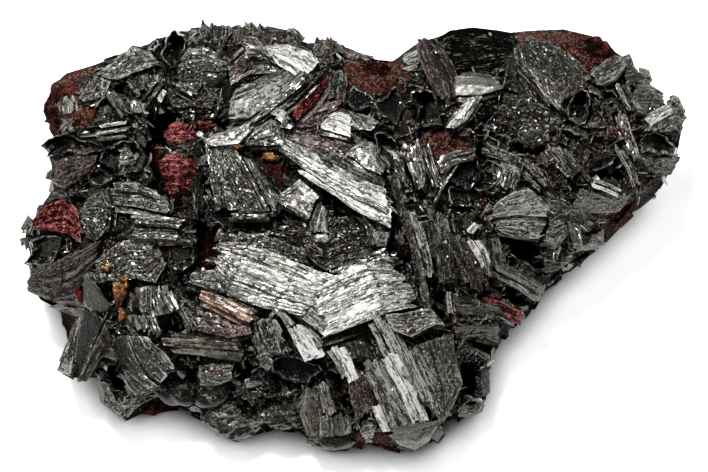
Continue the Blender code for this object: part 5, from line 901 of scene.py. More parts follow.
def add_lump(bank, at, radii, lift, look, pick):
    """A rough round lump that stands over the crust by its lift."""
    ball = bmesh.new()
    bmesh.ops.create_icosphere(ball, subdivisions=4 if max(radii) > 1.6 else 3, radius=1)
    co = np.array([v.co[:] for v in ball.verts])
    faces = [tuple(v.index for v in f.verts) for f in ball.faces]
    ball.free()
    seed = pick.randrange(200)
    deep = 0.7 * min(radii)
    swell = 1 + 0.5 * (ripple(co[:, 0] * 1.3 + co[:, 2], co[:, 1] * 1.3, seed) - 0.5)
    x, y, out = radii[0] * swell * co[:, 0], radii[1] * swell * co[:, 1], deep * swell * co[:, 2]
    chip, crack, number = chips(x / 0.55 + 0.6 * out, y / 0.55 + 0.5 * out, seed)
    push = 1 + look.grit * (chip - 0.6) / deep
    base = dome(*at) + lift - deep
    lit = 0.25 + 0.5 * co[:, 2] + 0.35 * co[:, 1] + 0.3 * (chip - 0.5) - 0.5 * np.clip(0.2 - crack, 0, 1)
    shades = np.stack([np.clip(lit, 0.03, 1), 0 * x + 0.5, number], -1)
    places = world(at[0] + x * push, at[1] + y * push, base + out * push)
    bank.add(places, faces, np.stack([x, y], -1), shades)


def over_places(x, y, places, soft=0.8):
    """1 well inside any of some outlines, 0 outside them."""
    inside = np.full(np.shape(x), -9.0)
    for outline in places:
        inside = np.maximum(inside, edge_distance(x, y, outline))
    return np.clip(inside / soft + 0.5, 0, 1)


def bed_height(x, y, bare):
    """The bed between the crystals: splinters along the crystals beside them, and pits."""
    heading, number = grain_of(x, y)
    along = (x * np.cos(heading) + y * np.sin(heading)) / 2.6 + number * 3.7
    over = (y * np.cos(heading) - x * np.sin(heading)) / 1.05 + number * 1.3
    chip, crack, own = chips(along, over)
    crystals = 1.9 * (chip - 0.55) + 0.8 * (ripple(x / 4, y / 4, 1) - 0.5)
    fine, _, _ = chips(x / 0.7, y / 0.7, 3)
    stone = BED_DROP - 0.2 + 0.45 * (fine - 0.5) + 0.5 * (ripple(x / 2, y / 2, 2) - 0.5)
    packed = over_places(x, y, PACKED_PLACES, 2.0)
    raised = PACKED_RISE * packed * (1 - bare)
    out = dome(x, y) - BED_DROP + crystals * (1 - bare) * (1 - 0.4 * packed) + stone * bare + raised
    out += 0.5 * (fine - 0.5) * packed * (1 - bare)
    for deep, mouth in PITS:
        out -= (deep + raised) * np.clip(edge_distance(x, y, mouth) / 0.5 + 0.4, 0, 1)
    for lift, deep, _, mouth in OPEN_CRYSTALS:
        out -= (deep - lift + 1 + raised) * np.clip(edge_distance(x, y, mouth) / 0.7 + 0.5, 0, 1)
    return out, (0.8 * own + 0.3 * packed) * (1 - bare) + ripple(x / 0.8, y / 0.8, 4) * bare, crack


def back_place(cx, cy, far, part, drop):
    """Places on the crust's hidden side: a share of the way out, a drop straight down."""
    x, y = cx * far * part, cy * far * part
    return x, y - drop / math.tan(LEAN), rim(y) - drop


def make_bed(around=620, inward=84):
    """The crust's bed as one closed shell: rings from its middle over its rim to its back."""
    turnings = np.linspace(0, 2 * math.pi, around, endpoint=False)
    cx, cy = np.cos(turnings), np.sin(turnings)
    far = 1 / share(cx, cy)
    part = (np.linspace(0.015, 1.0, inward) ** 0.8)[:, None]
    x, y = cx * far * part, cy * far * part
    bare = over_places(x, y, STONE_PLACES)
    out, number, crack = bed_height(x, y, bare)
    edge = np.clip((part - 0.955) / 0.045, 0, 1)
    out = out * (1 - edge) + np.minimum(out, rim(y) + 1.2) * edge
    # painted shade: the bed darker the lower it lies under the dome and near its cracks; the bare stone
    # evenly dimmed
    dim = np.clip(0.7 + (out - dome(x, y)) / 5, 0.03, 1) * (0.6 + 0.4 * np.clip(crack * 4, 0, 1))
    dim = dim * (1 - bare) + 0.6 * bare
    number = number * (1 - 0.6 * edge)
    places = [world(x, y, out).reshape(-1, 3)]
    maps = [np.stack([x, y], -1).reshape(-1, 2)]
    shades = [np.stack([dim, bare, number], -1).reshape(-1, 3)]
    rings = [(1.0, 0.9), (0.995, 1.9), (0.985, 3.0), (0.975, 4.2), (0.95, 5.6), (0.90, 7.2), (0.84, 8.6),
             (0.78, 9.5), (0.4, 9.8)]
    for share_out, drop in rings:
        chip, _, own = chips(turnings * 17, 0 * turnings + drop / 1.3, 6)
        push = share_out * (1 + 0.03 * (chip - 0.7))
        x, y, out = back_place(cx, cy, far, push, drop + 0.8 * (own - 0.5) * (drop > 1))
        places.append(world(x, y, out))
        maps.append(np.stack([turnings * 50, 0 * x + drop], -1))
        shades.append(np.stack([0.3 + 0.3 * own, over_places(x, y, STONE_PLACES), 0.5 * own], -1))
    starts = [r * around for r in range(inward + len(rings))]
    faces = [(here + i, here + around + i, here + around + j, here + j)
             for here in starts[:-1] for i, j in ring_ends(around)]
    faces += [tuple(range(around)), tuple(starts[-1] + i for i in reversed(range(around)))]
    bank = Bank()
    bank.add(np.concatenate(places), faces, np.concatenate(maps), np.concatenate(shades))
    return bank


# splinters -------------------------------------------------------------------------------------

def metres(size):
    return tuple(MM * side for side in size)


def shading(pick, darkest, lightest=1.0):
    """A small crystal's own shade, and two numbers that its skin varies by."""
    return pick.uniform(darkest, lightest), pick.random(), pick.random()


def row_of(x, y, out, aim, normal, size, tone):
    """A point for scatter(): its place, aim and normal from the display face, its size in mm, its tone."""
    return world(x, y, out), turned(*aim), turned(*normal), metres(size), tone


def shard_form(kind, pick):
    """A broken splinter of unit size along X, its face up Z: a closed shell of about 50 triangles."""
    rows, columns = 5, 4
    u, v = np.linspace(-0.5, 0.5, rows)[:, None], np.linspace(-0.5, 0.5, columns)[None, :]
    narrow = {"lath": 1 + 0 * u, "wedge": 1.05 - 0.9 * (u + 0.5), "chip": 1.1 - 1.2 * u * u * 2,
              "needle": 1 - 0.6 * (u + 0.5)}[kind]
    ragged = np.array([[pick.random() for _ in range(columns)] for _ in range(2)])
    x = u * (1 - 0.25 * np.where(u > 0, ragged[0], ragged[1]))
    y = v * narrow + 0.06 * np.array([[pick.uniform(-1, 1) for _ in range(columns)] for _ in range(rows)])
    z = np.array([[pick.choice((0, 0, -0.25, -0.5)) for _ in range(columns)] for _ in range(rows)])
    z = z * 0.6 + 0.4
    z = z - 0.5 * (np.abs(v) == 0.5) * pick.random()
    faces, loop = shell_faces(rows, columns, 1)
    lx, ly = (x + 0 * v).ravel()[loop], (y + 0 * u).ravel()[loop]
    top = np.stack([(x + 0 * v).ravel(), (y + 0 * u).ravel(), (z + 0 * u).ravel()], -1)
    low = np.stack([lx * 0.97, ly * 0.85, np.array([-0.6 + 0.2 * pick.random() for _ in loop])], -1)
    bank = Bank(foot=-9)
    chart = np.concatenate([top[:, :2], top[loop, :2] + 0.1]) * (3.5, 1.2)
    # painted shade: the top darker where it lies lower, the sides dark
    dim = np.concatenate([np.clip(0.75 + 0.5 * (z.ravel() - 0.3), 0.3, 1), np.full(len(loop), 0.3)])
    bank.add(np.concatenate([top, low]), faces, chart, np.stack([dim, dim, dim], -1))
    return bank.mesh("shard " + kind, 20)


def wall_form(pick):
    """A thin ragged wall of unit length, its crest at Z 0: the edge of a hollow crystal."""
    stations = 7
    x = np.linspace(-0.5, 0.5, stations)
    bend = pick.uniform(-0.35, 0.35)
    y = bend * (1 - np.abs(2 * x - pick.uniform(-0.6, 0.6)))
    y = y + np.array([pick.uniform(-0.02, 0.02) for _ in x])
    crest = np.array([-pick.random() ** 2 * 0.35 for _ in x]) - 0.5 * (np.abs(x) == 0.5)
    thick = np.array([pick.uniform(0.03, 0.07) for _ in x])
    bank = Bank(foot=-9)
    # rows: side, height, and dim, a painted shade darkest low on the sides; the crest keeps its full colour
    rows = ((1.6, -1.0, 0.1), (1.2, -0.25, 0.4), (0.7, 0.0, 1.0), (-0.7, 0.0, 1.0), (-1.2, -0.25, 0.4),
            (-1.6, -1.0, 0.1))
    places = np.concatenate([np.stack([x, y + side * thick, crest * (low > -1) + low], -1)
                             for side, low, _ in rows])
    shades = np.concatenate([np.stack([0 * x + dim, 0 * x + 0.5, 0 * x + 0.5], -1)
                             for _, _, dim in rows])
    count = len(rows)
    starts = [r * stations for r in range(count)]
    faces = [(here + i, here + i + 1, after + i + 1, after + i)
             for here, after in zip(starts, starts[1:] + starts[:1]) for i in range(stations - 1)]
    faces += [tuple(starts), tuple(here + stations - 1 for here in reversed(starts))]
    bank.add(places, faces, np.stack([places[:, 0] * 4, places[:, 2]], -1), shades)
    return bank.mesh("wall", 25)


def wall_rows(count, pick):
    """Where thin walls stand between the large crystals."""
    rows = []
    x = np.array([pick.uniform(-58, 58) for _ in range(count * 4)])
    y = np.array([pick.uniform(-37, 37) for _ in x])
    free = open_ground(x, y)
    x, y = x[free][:count], y[free][:count]
    heading, _ = grain_of(x, y)
    height = dome(x, y) + PACKED_RISE * over_places(x, y, PACKED_PLACES, 2.0)
    for k in range(len(x)):
        angle = heading[k] + pick.choice((0, 0, math.pi / 3, -math.pi / 3, math.pi / 2)) + pick.gauss(0, 0.25)
        aim = (math.cos(angle), math.sin(angle), pick.uniform(-0.25, 0.25))
        normal = (pick.gauss(0, 0.25), pick.gauss(0, 0.25), 1.0)
        long = pick.uniform(1.6, 4.6)
        size = (long, pick.uniform(1.2, 2.4), pick.uniform(1.5, 3.0))
        out = height[k] - BED_DROP + pick.uniform(0.9, 2.2)
        tone = shading(pick, 0.6)
        if inside_rim(x[k], y[k], aim, long):
            rows.append(row_of(x[k], y[k], out, aim, normal, size, tone))
    return rows


def grain_form(pick):
    """A druse grain of unit size: a blunt little crystal of a dozen faces."""
    ball = bmesh.new()
    bmesh.ops.create_cone(ball, cap_ends=False, segments=5, radius1=0.5, radius2=0, depth=0.6)
    bmesh.ops.holes_fill(ball, edges=ball.edges)
    for v in ball.verts:
        v.co = v.co * pick.uniform(0.8, 1.2)
    bmesh.ops.triangulate(ball, faces=ball.faces)
    bmesh.ops.recalc_face_normals(ball, faces=ball.faces)
    data = bpy.data.meshes.new("druse grain")
    ball.to_mesh(data)
    ball.free()
    places = read(data.vertices, "co", 3)
    chart_and_shade(data, places[:, :2], np.full(places.shape, 0.9))
    return data


def scatter_tree():
    """Geometry nodes: forms from a collection on points, turned, sized and shaded by their attributes."""
    tree = bpy.data.node_groups.new("Scatter", "GeometryNodeTree")
    tree.interface.new_socket("Geometry", in_out="OUTPUT", socket_type="NodeSocketGeometry")
    for name, kind in (("Points", "Geometry"), ("Forms", "Collection"), ("Material", "Material"),
                       ("Seed", "Int")):
        tree.interface.new_socket(name, in_out="INPUT", socket_type="NodeSocket" + kind)
    given = add_node(tree, "NodeGroupInput").outputs
    forms = add_node(tree, "GeometryNodeCollectionInfo", Collection=given["Forms"])
    forms.inputs["Separate Children"].default_value = True
    forms.inputs["Reset Children"].default_value = True
    which = add_node(tree, "FunctionNodeRandomValue", data_type="INT", Seed=given["Seed"])
    limits = {socket.name: socket for socket in enabled(which.inputs)}
    limits["Min"].default_value, limits["Max"].default_value = 0, 63
    fields = {}
    for name, kind in (("aim", "FLOAT_VECTOR"), ("normal", "FLOAT_VECTOR"), ("size", "FLOAT_VECTOR"),
                       ("tone", "FLOAT_COLOR"), ("Shade", "FLOAT_COLOR")):
        node = add_node(tree, "GeometryNodeInputNamedAttribute", data_type=kind, Name=name)
        fields[name] = enabled(node.outputs)[0]
    turning = add_node(tree, "FunctionNodeAxesToRotation", primary_axis="X", secondary_axis="Z")
    tree.links.new(fields["aim"], turning.inputs[0])
    tree.links.new(fields["normal"], turning.inputs[1])
    put = add_node(tree, "GeometryNodeInstanceOnPoints", Points=given["Points"],
                   Instance=forms.outputs[0], Rotation=turning.outputs[0], Scale=fields["size"])
    put.inputs["Pick Instance"].default_value = True
    tree.links.new(enabled(which.outputs)[0], put.inputs["Instance Index"])
    whole = add_node(tree, "GeometryNodeRealizeInstances", Geometry=put.outputs[0])
    # the form's own shade is dimmed by the point's
    form = split(tree, fields["Shade"], "FunctionNodeSeparateColor")
    tone = split(tree, fields["tone"], "FunctionNodeSeparateColor")
    shade = add_node(tree, "FunctionNodeCombineColor", Green=tone[1], Blue=tone[2],
                     Red=arithmetic(tree, "MULTIPLY", form[0], tone[0]))
    store = add_node(tree, "GeometryNodeStoreNamedAttribute", data_type="FLOAT_COLOR", domain="POINT",
                     Name="Shade", Geometry=whole.outputs[0])
    value = [socket for socket in enabled(store.inputs) if socket.name == "Value"][0]
    tree.links.new(shade.outputs[0], value)
    cover = add_node(tree, "GeometryNodeSetMaterial", Geometry=store.outputs[0],
                     Material=given["Material"])
    add_node(tree, "NodeGroupOutput", Geometry=cover.outputs[0])
    return tree


def scatter(name, rows, forms, material, seed, crease=25):
    """A piece made of forms, one to a row of place, aim, normal, size and tone."""
    data = bpy.data.meshes.new(name + " points")
    data.from_pydata([row[0] for row in rows], [], [])
    for k, field in enumerate(("aim", "normal", "size"), 1):
        layer = data.attributes.new(field, "FLOAT_VECTOR", "POINT")
        layer.data.foreach_set("vector", np.array([row[k] for row in rows], np.float32).ravel())
    layer = data.attributes.new("tone", "FLOAT_COLOR", "POINT")
    layer.data.foreach_set("color", np.array([(*row[4], 1) for row in rows], np.float32).ravel())
    home = bpy.data.objects.new(name + " points", data)
    bpy.context.scene.collection.objects.link(home)
    group = bpy.data.collections.new(name + " forms")
    for form in forms:
        group.objects.link(bpy.data.objects.new(form.name, form))
    tree = bpy.data.node_groups.get("Scatter") or scatter_tree()
    step = home.modifiers.new("scatter", "NODES")
    step.node_group = tree
    names = {s.name: s.identifier for s in tree.interface.items_tree if s.in_out == "INPUT"}
    step[names["Forms"]], step[names["Material"]], step[names["Seed"]] = group, material, seed
    bpy.context.view_layer.update()
    result = bpy.data.meshes.new_from_object(home.evaluated_get(bpy.context.evaluated_depsgraph_get()))
    result.name = name
    for point in result.vertices:
        point.co.z = max(point.co.z, 0.0)
    home.modifiers.remove(step)
    bpy.data.objects.remove(home)
    for thing in list(group.objects):
        bpy.data.objects.remove(thing)
    bpy.data.collections.remove(group)
    result.shade_smooth()
    result.set_sharp_from_angle(angle=math.radians(crease))
    place_piece(result, material)


def open_ground(x, y, bare_too=False):
    """Whether places lie between the crystals, clear of mouths, pits and bare stone."""
    free = share(x, y) < 1.0
    for blade in BLADES:
        free &= edge_distance(x, y, outline_of(blade)) < 0.35
    for _, _, _, mouth in OPEN_CRYSTALS:
        free &= edge_distance(x, y, mouth) < -0.9
    for _, mouth in PITS:
        free &= edge_distance(x, y, mouth) < 0.1
    for across, up, rx, ry, _, _ in LUMPS:
        free &= np.hypot((x - across) / rx, (y - up) / ry) > 0.9
    if not bare_too:
        for outline in STONE_PLACES:
            free &= edge_distance(x, y, outline) < 0.2
    return free


def inside_rim(x, y, aim, long):
    """Whether both ends of a splinter lie within the outline."""
    return bool((share(x + aim[0] * long * ENDS, y + aim[1] * long * ENDS) < 1.0).all())


def splinter_rows(spacing, pick):
    """Where the small crystals stand between the large ones, and how each lies: by finish."""
    places = [(-GROUND[0] + (i + pick.random()) * spacing, -GROUND[1] + (j + pick.random()) * spacing)
              for i in range(int(2 * GROUND[0] / spacing)) for j in range(int(2 * GROUND[1] / spacing))]
    x, y = np.array(places).T
    free = open_ground(x, y)
    x, y = x[free], y[free]
    heading, number = grain_of(x, y)
    packed = over_places(x, y, PACKED_PLACES, 2.0)
    height = dome(x, y) + PACKED_RISE * packed
    fall_x, fall_y = slope(x, y)
    rows = {"slate": [], "dark": [], "steel": [], "rust": [], "frost": []}
    kin = {**dict.fromkeys(FAMILIES["silver"], "steel"),
           **dict.fromkeys(("rosy", "red", "rust", "ochre", "copper", "darkrose"), "rust")}
    for k in range(len(x)):
        beside = kin.get(BLADES[number[k]].finish, "slate")
        finish = pick.choices(("dark", "slate", beside, "frost"), (5, 4, 3, 0.6))[0]
        angle = heading[k] + pick.gauss(0, 0.35) + pick.choice((0, 0, 0, 0, math.pi / 2))
        angle += pick.choice((0, math.pi))
        rise = math.radians(pick.uniform(-4, 32))
        aim = (math.cos(angle) * math.cos(rise), math.sin(angle) * math.cos(rise), math.sin(rise))
        on_edge = pick.random() < 0.3
        roll = math.radians(pick.gauss(0, 28) + (pick.choice((-75, 75)) if on_edge else 0))
        normal = (-math.sin(angle) * math.sin(roll) - fall_x[k], math.cos(angle) * math.sin(roll) - fall_y[k],
                  math.cos(roll) + 0.05)
        long = pick.uniform(1.6, 4.6)
        size = (long, long * pick.uniform(0.25, 0.6), 0.3 if on_edge else pick.uniform(0.4, 1.3))
        out = height[k] - BED_DROP + pick.uniform(-0.2, 1.0)
        tone = shading(pick, 0.5)
        if inside_rim(x[k], y[k], aim, long) and pick.random() > 0.85 * packed[k]:
            rows[finish].append(row_of(x[k], y[k], out, aim, normal, size, tone))
    return rows


def edge_rows(count, pick):
    """Small crystals over the crust's rim and its hidden side."""
    rows = {"slate": [], "dark": [], "steel": [], "rust": []}
    for k in range(count):
        angle = 2 * math.pi * (k + pick.random()) / count
        cx, cy = math.cos(angle), math.sin(angle)
        far = 1 / float(share(cx, cy))
        drop = 0.8 + 8 * pick.random() ** 1.2
        part = 0.95 - 0.18 * max(0, drop - 4) / 4.5
        x, y, out = back_place(cx, cy, far, part, drop)
        place = world(np.array(x), np.array(y), np.array(out))
        if place[2] < (FOOT + 1.5) * MM:
            continue
        tip = math.radians(pick.uniform(-50, 50))
        side = pick.choice((-1, 1)) * pick.uniform(1.5, 5)
        along_rim = np.array([cx - side * cy, cy + side * cx, side * math.tan(tip)])
        aim = turned(*along_rim)
        outward = turned(cx, cy, pick.uniform(-0.3, 0.6))
        long = pick.uniform(2.0, 5.0)
        if not inside_rim(cx * far * part, cy * far * part, along_rim / np.linalg.norm(along_rim), long):
            continue
        size = (long, long * pick.uniform(0.25, 0.55), pick.uniform(0.6, 1.6))
        finish = pick.choices(("dark", "slate", "steel", "rust"), (5, 4, 1, 1.2))[0]
        tone = shading(pick, 0.4, 0.9)
        rows[finish].append((place, aim, outward, metres(size), tone))
    return rows


def stone_rows(count, pick):
    """Grains over the places where the ironstone lies open."""
    x = np.array([pick.uniform(-58, 58) for _ in range(count * 6)])
    y = np.array([pick.uniform(-40, 40) for _ in x])
    free = (over_places(x, y, STONE_PLACES) > 0.5) & (share(x, y) < 0.99) & open_ground(x, y, True)
    x, y = x[free][:count], y[free][:count]
    out, _, _ = bed_height(x, y, np.ones(len(x)))
    rows = []
    for k in range(len(x)):
        tip = (pick.gauss(0, 1), pick.gauss(0, 1), pick.gauss(0, 1))
        each = pick.uniform(0.2, 0.6) * MM
        tone = shading(pick, 0.3)
        rows.append((world(x[k], y[k], out[k] + 0.05), tip, (0, 0, 1), (each * 1.3, each, each * 0.8), tone))
    return rows


def druse_rows(piece, count, size, pick, above=0.45):
    """Grains over the open faces of a piece: evenly by area, on faces that look outward."""
    data = bpy.data.objects[piece].data
    data.calc_loop_triangles()
    corners = read(data.loop_triangles, "vertices", 3, np.int32)
    co = read(data.vertices, "co", 3).astype(float)
    shade = read(data.color_attributes["Shade"].data, "color", 4)
    a, b, c = co[corners[:, 0]], co[corners[:, 1]], co[corners[:, 2]]
    normal = np.cross(b - a, c - a)
    area = np.linalg.norm(normal, axis=1)
    normal = normal / np.maximum(area, 1e-15)[:, None]
    front = normal @ np.array([0, -math.cos(LEAN), math.sin(LEAN)])
    area = np.where((front > -0.1) & (shade[corners[:, 0], 0] > above), area, 0)
    total = np.cumsum(area) / area.sum()
    rows = []
    for _ in range(count):
        t = int(np.searchsorted(total, pick.random()))
        p, q = pick.random(), pick.random()
        if p + q > 1:
            p, q = 1 - p, 1 - q
        place = a[t] + (b[t] - a[t]) * p + (c[t] - a[t]) * q
        tip = (pick.gauss(0, 1), pick.gauss(0, 1), pick.gauss(0, 1))
        each = size * pick.uniform(0.5, 1.4) * MM
        tone = shading(pick, 0.6)
        size_of = (each * pick.uniform(1, 1.7), each, each * 0.8)
        rows.append((place, tip, tuple(normal[t]), size_of, tone))
    return rows


# materials -------------------------------------------------------------------------------------

def set_input(tree, socket, value):
    """Link a node's input to another node's output, or give it a value."""
    if isinstance(value, bpy.types.NodeSocket):
        tree.links.new(value, socket)
    else:
        socket.default_value = value


def add_node(tree, kind, **values):
    """A node with its settings and its inputs by name; an input takes a value or an output."""
    node = tree.nodes.new(kind)
    row, column = divmod(len(tree.nodes), 8)
    node.location = (220 * column, -280 * row)
    for name, value in values.items():
        if name in node.inputs:
            set_input(tree, node.inputs[name], value)
        else:
            setattr(node, name, value)
    return node


def enabled(sockets):
    return [socket for socket in sockets if socket.enabled]


def split(tree, colour, kind="ShaderNodeSeparateColor"):
    """A colour's red, green and blue."""
    node = add_node(tree, kind)
    tree.links.new(colour, node.inputs[0])
    return node.outputs


def arithmetic(tree, operation, first, second, clamp=False):
    """A Math node; its arguments are outputs or numbers."""
    node = add_node(tree, "ShaderNodeMath", operation=operation, use_clamp=clamp)
    set_input(tree, node.inputs[0], first)
    set_input(tree, node.inputs[1], second)
    return node.outputs[0]


def fraction(tree, value, low, high, kind="SMOOTHSTEP"):
    """How far a value is on its way from low to high, 0 to 1."""
    node = add_node(tree, "ShaderNodeMapRange", interpolation_type=kind, Value=value)
    node.inputs["From Min"].default_value = low
    node.inputs["From Max"].default_value = high
    return node.outputs[0]


def blend_colours(tree, factor, first, second):
    """A colour Mix node; its arguments are outputs or values."""
    node = add_node(tree, "ShaderNodeMix", data_type="RGBA")
    for socket, value in zip(enabled(node.inputs), (factor, first, second)):
        set_input(tree, socket, value)
    return enabled(node.outputs)[0]


SKIN_INPUTS = (
    ("Dark", "Color", (0, 0, 0, 1)), ("Mid", "Color", (.2, .2, .2, 1)), ("Light", "Color", (.8, .8, .8, 1)),
    ("Stain colour", "Color", (.07, .014, .010, 1)), ("Bias", "Float", 0.5), ("Streaks", "Float", 0.5),
    ("Speckle", "Float", 0.5), ("Gloss", "Float", 0.4), ("Stain", "Float", 0.2),
    ("Lengthwise", "Vector", (0, 0, 0)), ("Shade", "Color", (1, 1, 1, 1)),
)


def crystal_skin():
    """The node group that turns streaks, grains and shades into a colour, a roughness and a height."""
    tree = bpy.data.node_groups.new("Crystal skin", "ShaderNodeTree")
    for name, kind, default in SKIN_INPUTS:
        socket = tree.interface.new_socket(name, in_out="INPUT", socket_type="NodeSocket" + kind)
        socket.default_value = default
    for name, kind in (("Color", "Color"), ("Roughness", "Float"), ("Height", "Float")):
        tree.interface.new_socket(name, in_out="OUTPUT", socket_type="NodeSocket" + kind)
    given = add_node(tree, "NodeGroupInput").outputs
    place = add_node(tree, "ShaderNodeTexCoord").outputs["Object"]

    def times(first, second, clamp=False):
        return arithmetic(tree, "MULTIPLY", first, second, clamp)

    def centred(socket, gain):
        return times(arithmetic(tree, "SUBTRACT", socket, 0.5), gain)

    def added(total, *others):
        for other in others:
            total = arithmetic(tree, "ADD", total, other)
        return total

    def sparse(socket, power, gain):
        """Mostly a little under 0, here and there far over it."""
        peak = arithmetic(tree, "POWER", socket, power)
        return times(arithmetic(tree, "SUBTRACT", peak, 1 / (power + 1)), gain)

    streaks = []
    for i, (scale, power, gain) in enumerate((((0.35, 5.0, 1.0), 1.5, 0.7), ((1.3, 6.5, 1.0), 3.0, 0.8))):
        stretch = add_node(tree, "ShaderNodeMapping", Vector=given["Lengthwise"], Scale=scale)
        fibres = add_node(tree, "ShaderNodeTexVoronoi", voronoi_dimensions="2D", Scale=1.0,
                          Vector=stretch.outputs[0])
        streaks.append(sparse(split(tree, fibres.outputs["Color"])[i], power, gain))
    cells = add_node(tree, "ShaderNodeTexVoronoi", Scale=4600.0, Vector=place)
    patches = add_node(tree, "ShaderNodeTexNoise", Scale=130.0, Detail=3.0, Roughness=0.55, Vector=place)
    stains = add_node(tree, "ShaderNodeTexNoise", Scale=190.0, Detail=4.0, Roughness=0.65, Vector=place)
    shade, cell = split(tree, given["Shade"]), split(tree, cells.outputs["Color"])
    # streaks are striations along the crystal and specks its grains; the sparse bright ones among them are
    # painted glints
    streak = times(added(*streaks), given["Streaks"])
    speck = times(added(centred(cell[0], 0.5), sparse(cell[1], 6.0, 0.9)), given["Speckle"])
    # the shade's red is painted shade, lighter on ridges and darker in crevices; its blue is tone with
    # painted sheen and edge highlights
    value = added(given["Bias"], streak, speck, centred(patches.outputs[0], 1.1),
                  centred(shade["Blue"], 0.6), centred(shade["Green"], 0.25), centred(shade["Red"], 0.5))
    # the rust lies in patches, and shows least on the glints
    rust = times(fraction(tree, stains.outputs[0], 0.48, 0.66, "LINEAR"), given["Stain"], True)
    colour = blend_colours(tree, rust, given["Mid"], given["Stain colour"])
    colour = blend_colours(tree, fraction(tree, value, 0.2, 0.6), given["Dark"], colour)
    colour = blend_colours(tree, fraction(tree, value, 0.6, 1.1), colour, given["Light"])
    # painted shade: crevices, dark in the shade's red, are painted nearly black
    unshaded = times(arithmetic(tree, "POWER", shade["Red"], 0.8), 1.25, True)
    colour = blend_colours(tree, unshaded, (0.002, 0.0018, 0.0016, 1), colour)
    # and mirror only their dark surroundings
    rough = arithmetic(tree, "SUBTRACT", given["Gloss"], 0.15)
    rough = arithmetic(tree, "ADD", times(cell[2], 0.25), rough, True)
    rough = times(rough, arithmetic(tree, "MAXIMUM", unshaded, 0.65))
    height = added(times(streak, 0.6), times(speck, 0.8))
    add_node(tree, "NodeGroupOutput", Color=colour, Roughness=rough, Height=height)
    return tree


def skin_node(tree, look, chart, shade):
    """The crystal skin set to a finish."""
    group = bpy.data.node_groups.get("Crystal skin") or crystal_skin()
    return add_node(tree, "ShaderNodeGroup", node_tree=group, Lengthwise=chart, Shade=shade,
                    Dark=(*look.dark, 1), Mid=(*look.mid, 1), Light=(*look.light, 1), Bias=look.bias,
                    Streaks=look.streaks, Speckle=look.speckle, Gloss=look.gloss, Stain=look.stain)


def crystal_material(name, look, second=None):
    """A finish: the crystal skin under a shader of its own, and where the shade says so a second one."""
    material = bpy.data.materials.new(name)
    material.use_nodes = True
    tree = material.node_tree
    shader = tree.nodes["Principled BSDF"]
    chart = add_node(tree, "ShaderNodeUVMap", uv_map="Lengthwise").outputs[0]
    shade = add_node(tree, "ShaderNodeAttribute", attribute_name="Shade").outputs["Color"]
    skin = skin_node(tree, look, chart, shade).outputs
    colour, rough = skin["Color"], skin["Roughness"]
    if second:
        other = skin_node(tree, second, chart, shade).outputs
        mask = split(tree, shade)["Green"]
        colour = blend_colours(tree, mask, colour, other["Color"])
        rough = blend_colours(tree, mask, rough, other["Roughness"])
    relief = add_node(tree, "ShaderNodeBump", Strength=1.0, Distance=0.0002, Height=skin["Height"])
    for socket, value in (("Base Color", colour), ("Roughness", rough), ("Normal", relief.outputs[0]),
                          ("IOR", 1.7 if look.lustre > DULL else 1.15),
                          ("Specular IOR Level", look.lustre), ("Specular Tint", SHEEN)):
        set_input(tree, shader.inputs[socket], value)
    return material


def place_piece(data, material, node="goethite_crystals"):
    """A finished mesh as a piece that stands for a solid."""
    data.materials.clear()
    data.materials.append(material)
    piece = bpy.data.objects.new(data.name, data)
    bpy.context.scene.collection.objects.link(piece)
    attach(piece, "root")
    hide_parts(node)
    print("piece", piece.name, sum(len(face.vertices) - 2 for face in data.polygons))
    return piece


# the finish of the sheets that show from under a crystal, mostly darker than its own: painted shade on the
# lower sheets
UNDER = {"bright": "steel", "frost": "steel", "steel": "slate", "fan": "steel", "slate": "dark",
         "dark": "slate", "striped": "dark", "smooth": "slate", "clay": "smooth", "petal": "smooth",
         "granite": "rough", "rough": "slate", "grain": "rough", "green": "rough", "rosy": "darkrose",
         "darkrose": "slate", "red": "rosy", "scarlet": "rosy", "rust": "rosy", "ochre": "rust",
         "copper": "rust", "tan": "slate", "pink": "darkrose"}
FAMILIES = {
    "silver": ("bright", "frost", "steel", "fan"),
    "black": ("slate", "dark", "striped", "smooth", "petal", "clay"),
    "granular": ("rough", "grain", "granite", "green"),
    "brown": ("rosy", "darkrose", "red", "scarlet", "rust", "ochre", "copper", "tan", "pink"),
}


SHEETS = all_sheets()


def finish_material(name):
    return bpy.data.materials.get(name) or crystal_material(name, LOOKS[name])


def make_family(family, fine):
    """The listed crystals of the finishes of one family, a piece to a finish."""
    for finish in FAMILIES[family]:
        look, bank = LOOKS[finish], Bank()
        pick = random.Random(finish)
        rows = [(1.0, blade) for blade in BLADES if blade.finish == finish]
        rows += [(UNDER_COARSE, sheet) for sheet in SHEETS if sheet.finish == finish]
        for coarse, (lift, across, up, deep, _, one_edge, other_edge) in rows:
            face = flat_over(middle(one_edge + other_edge), lift, across, up)
            rooted = max(lift, 0) + 0.7 * deep
            add_crystal(bank, one_edge, other_edge, face, rooted, look, pick, fine * coarse)
        for x, y, rx, ry, lift, kind in LUMPS:
            if kind == finish:
                add_lump(bank, (x, y), (rx, ry), lift, look, pick)
        if bank.count:
            place_piece(bank.mesh(finish + "_crystals"), finish_material(finish))


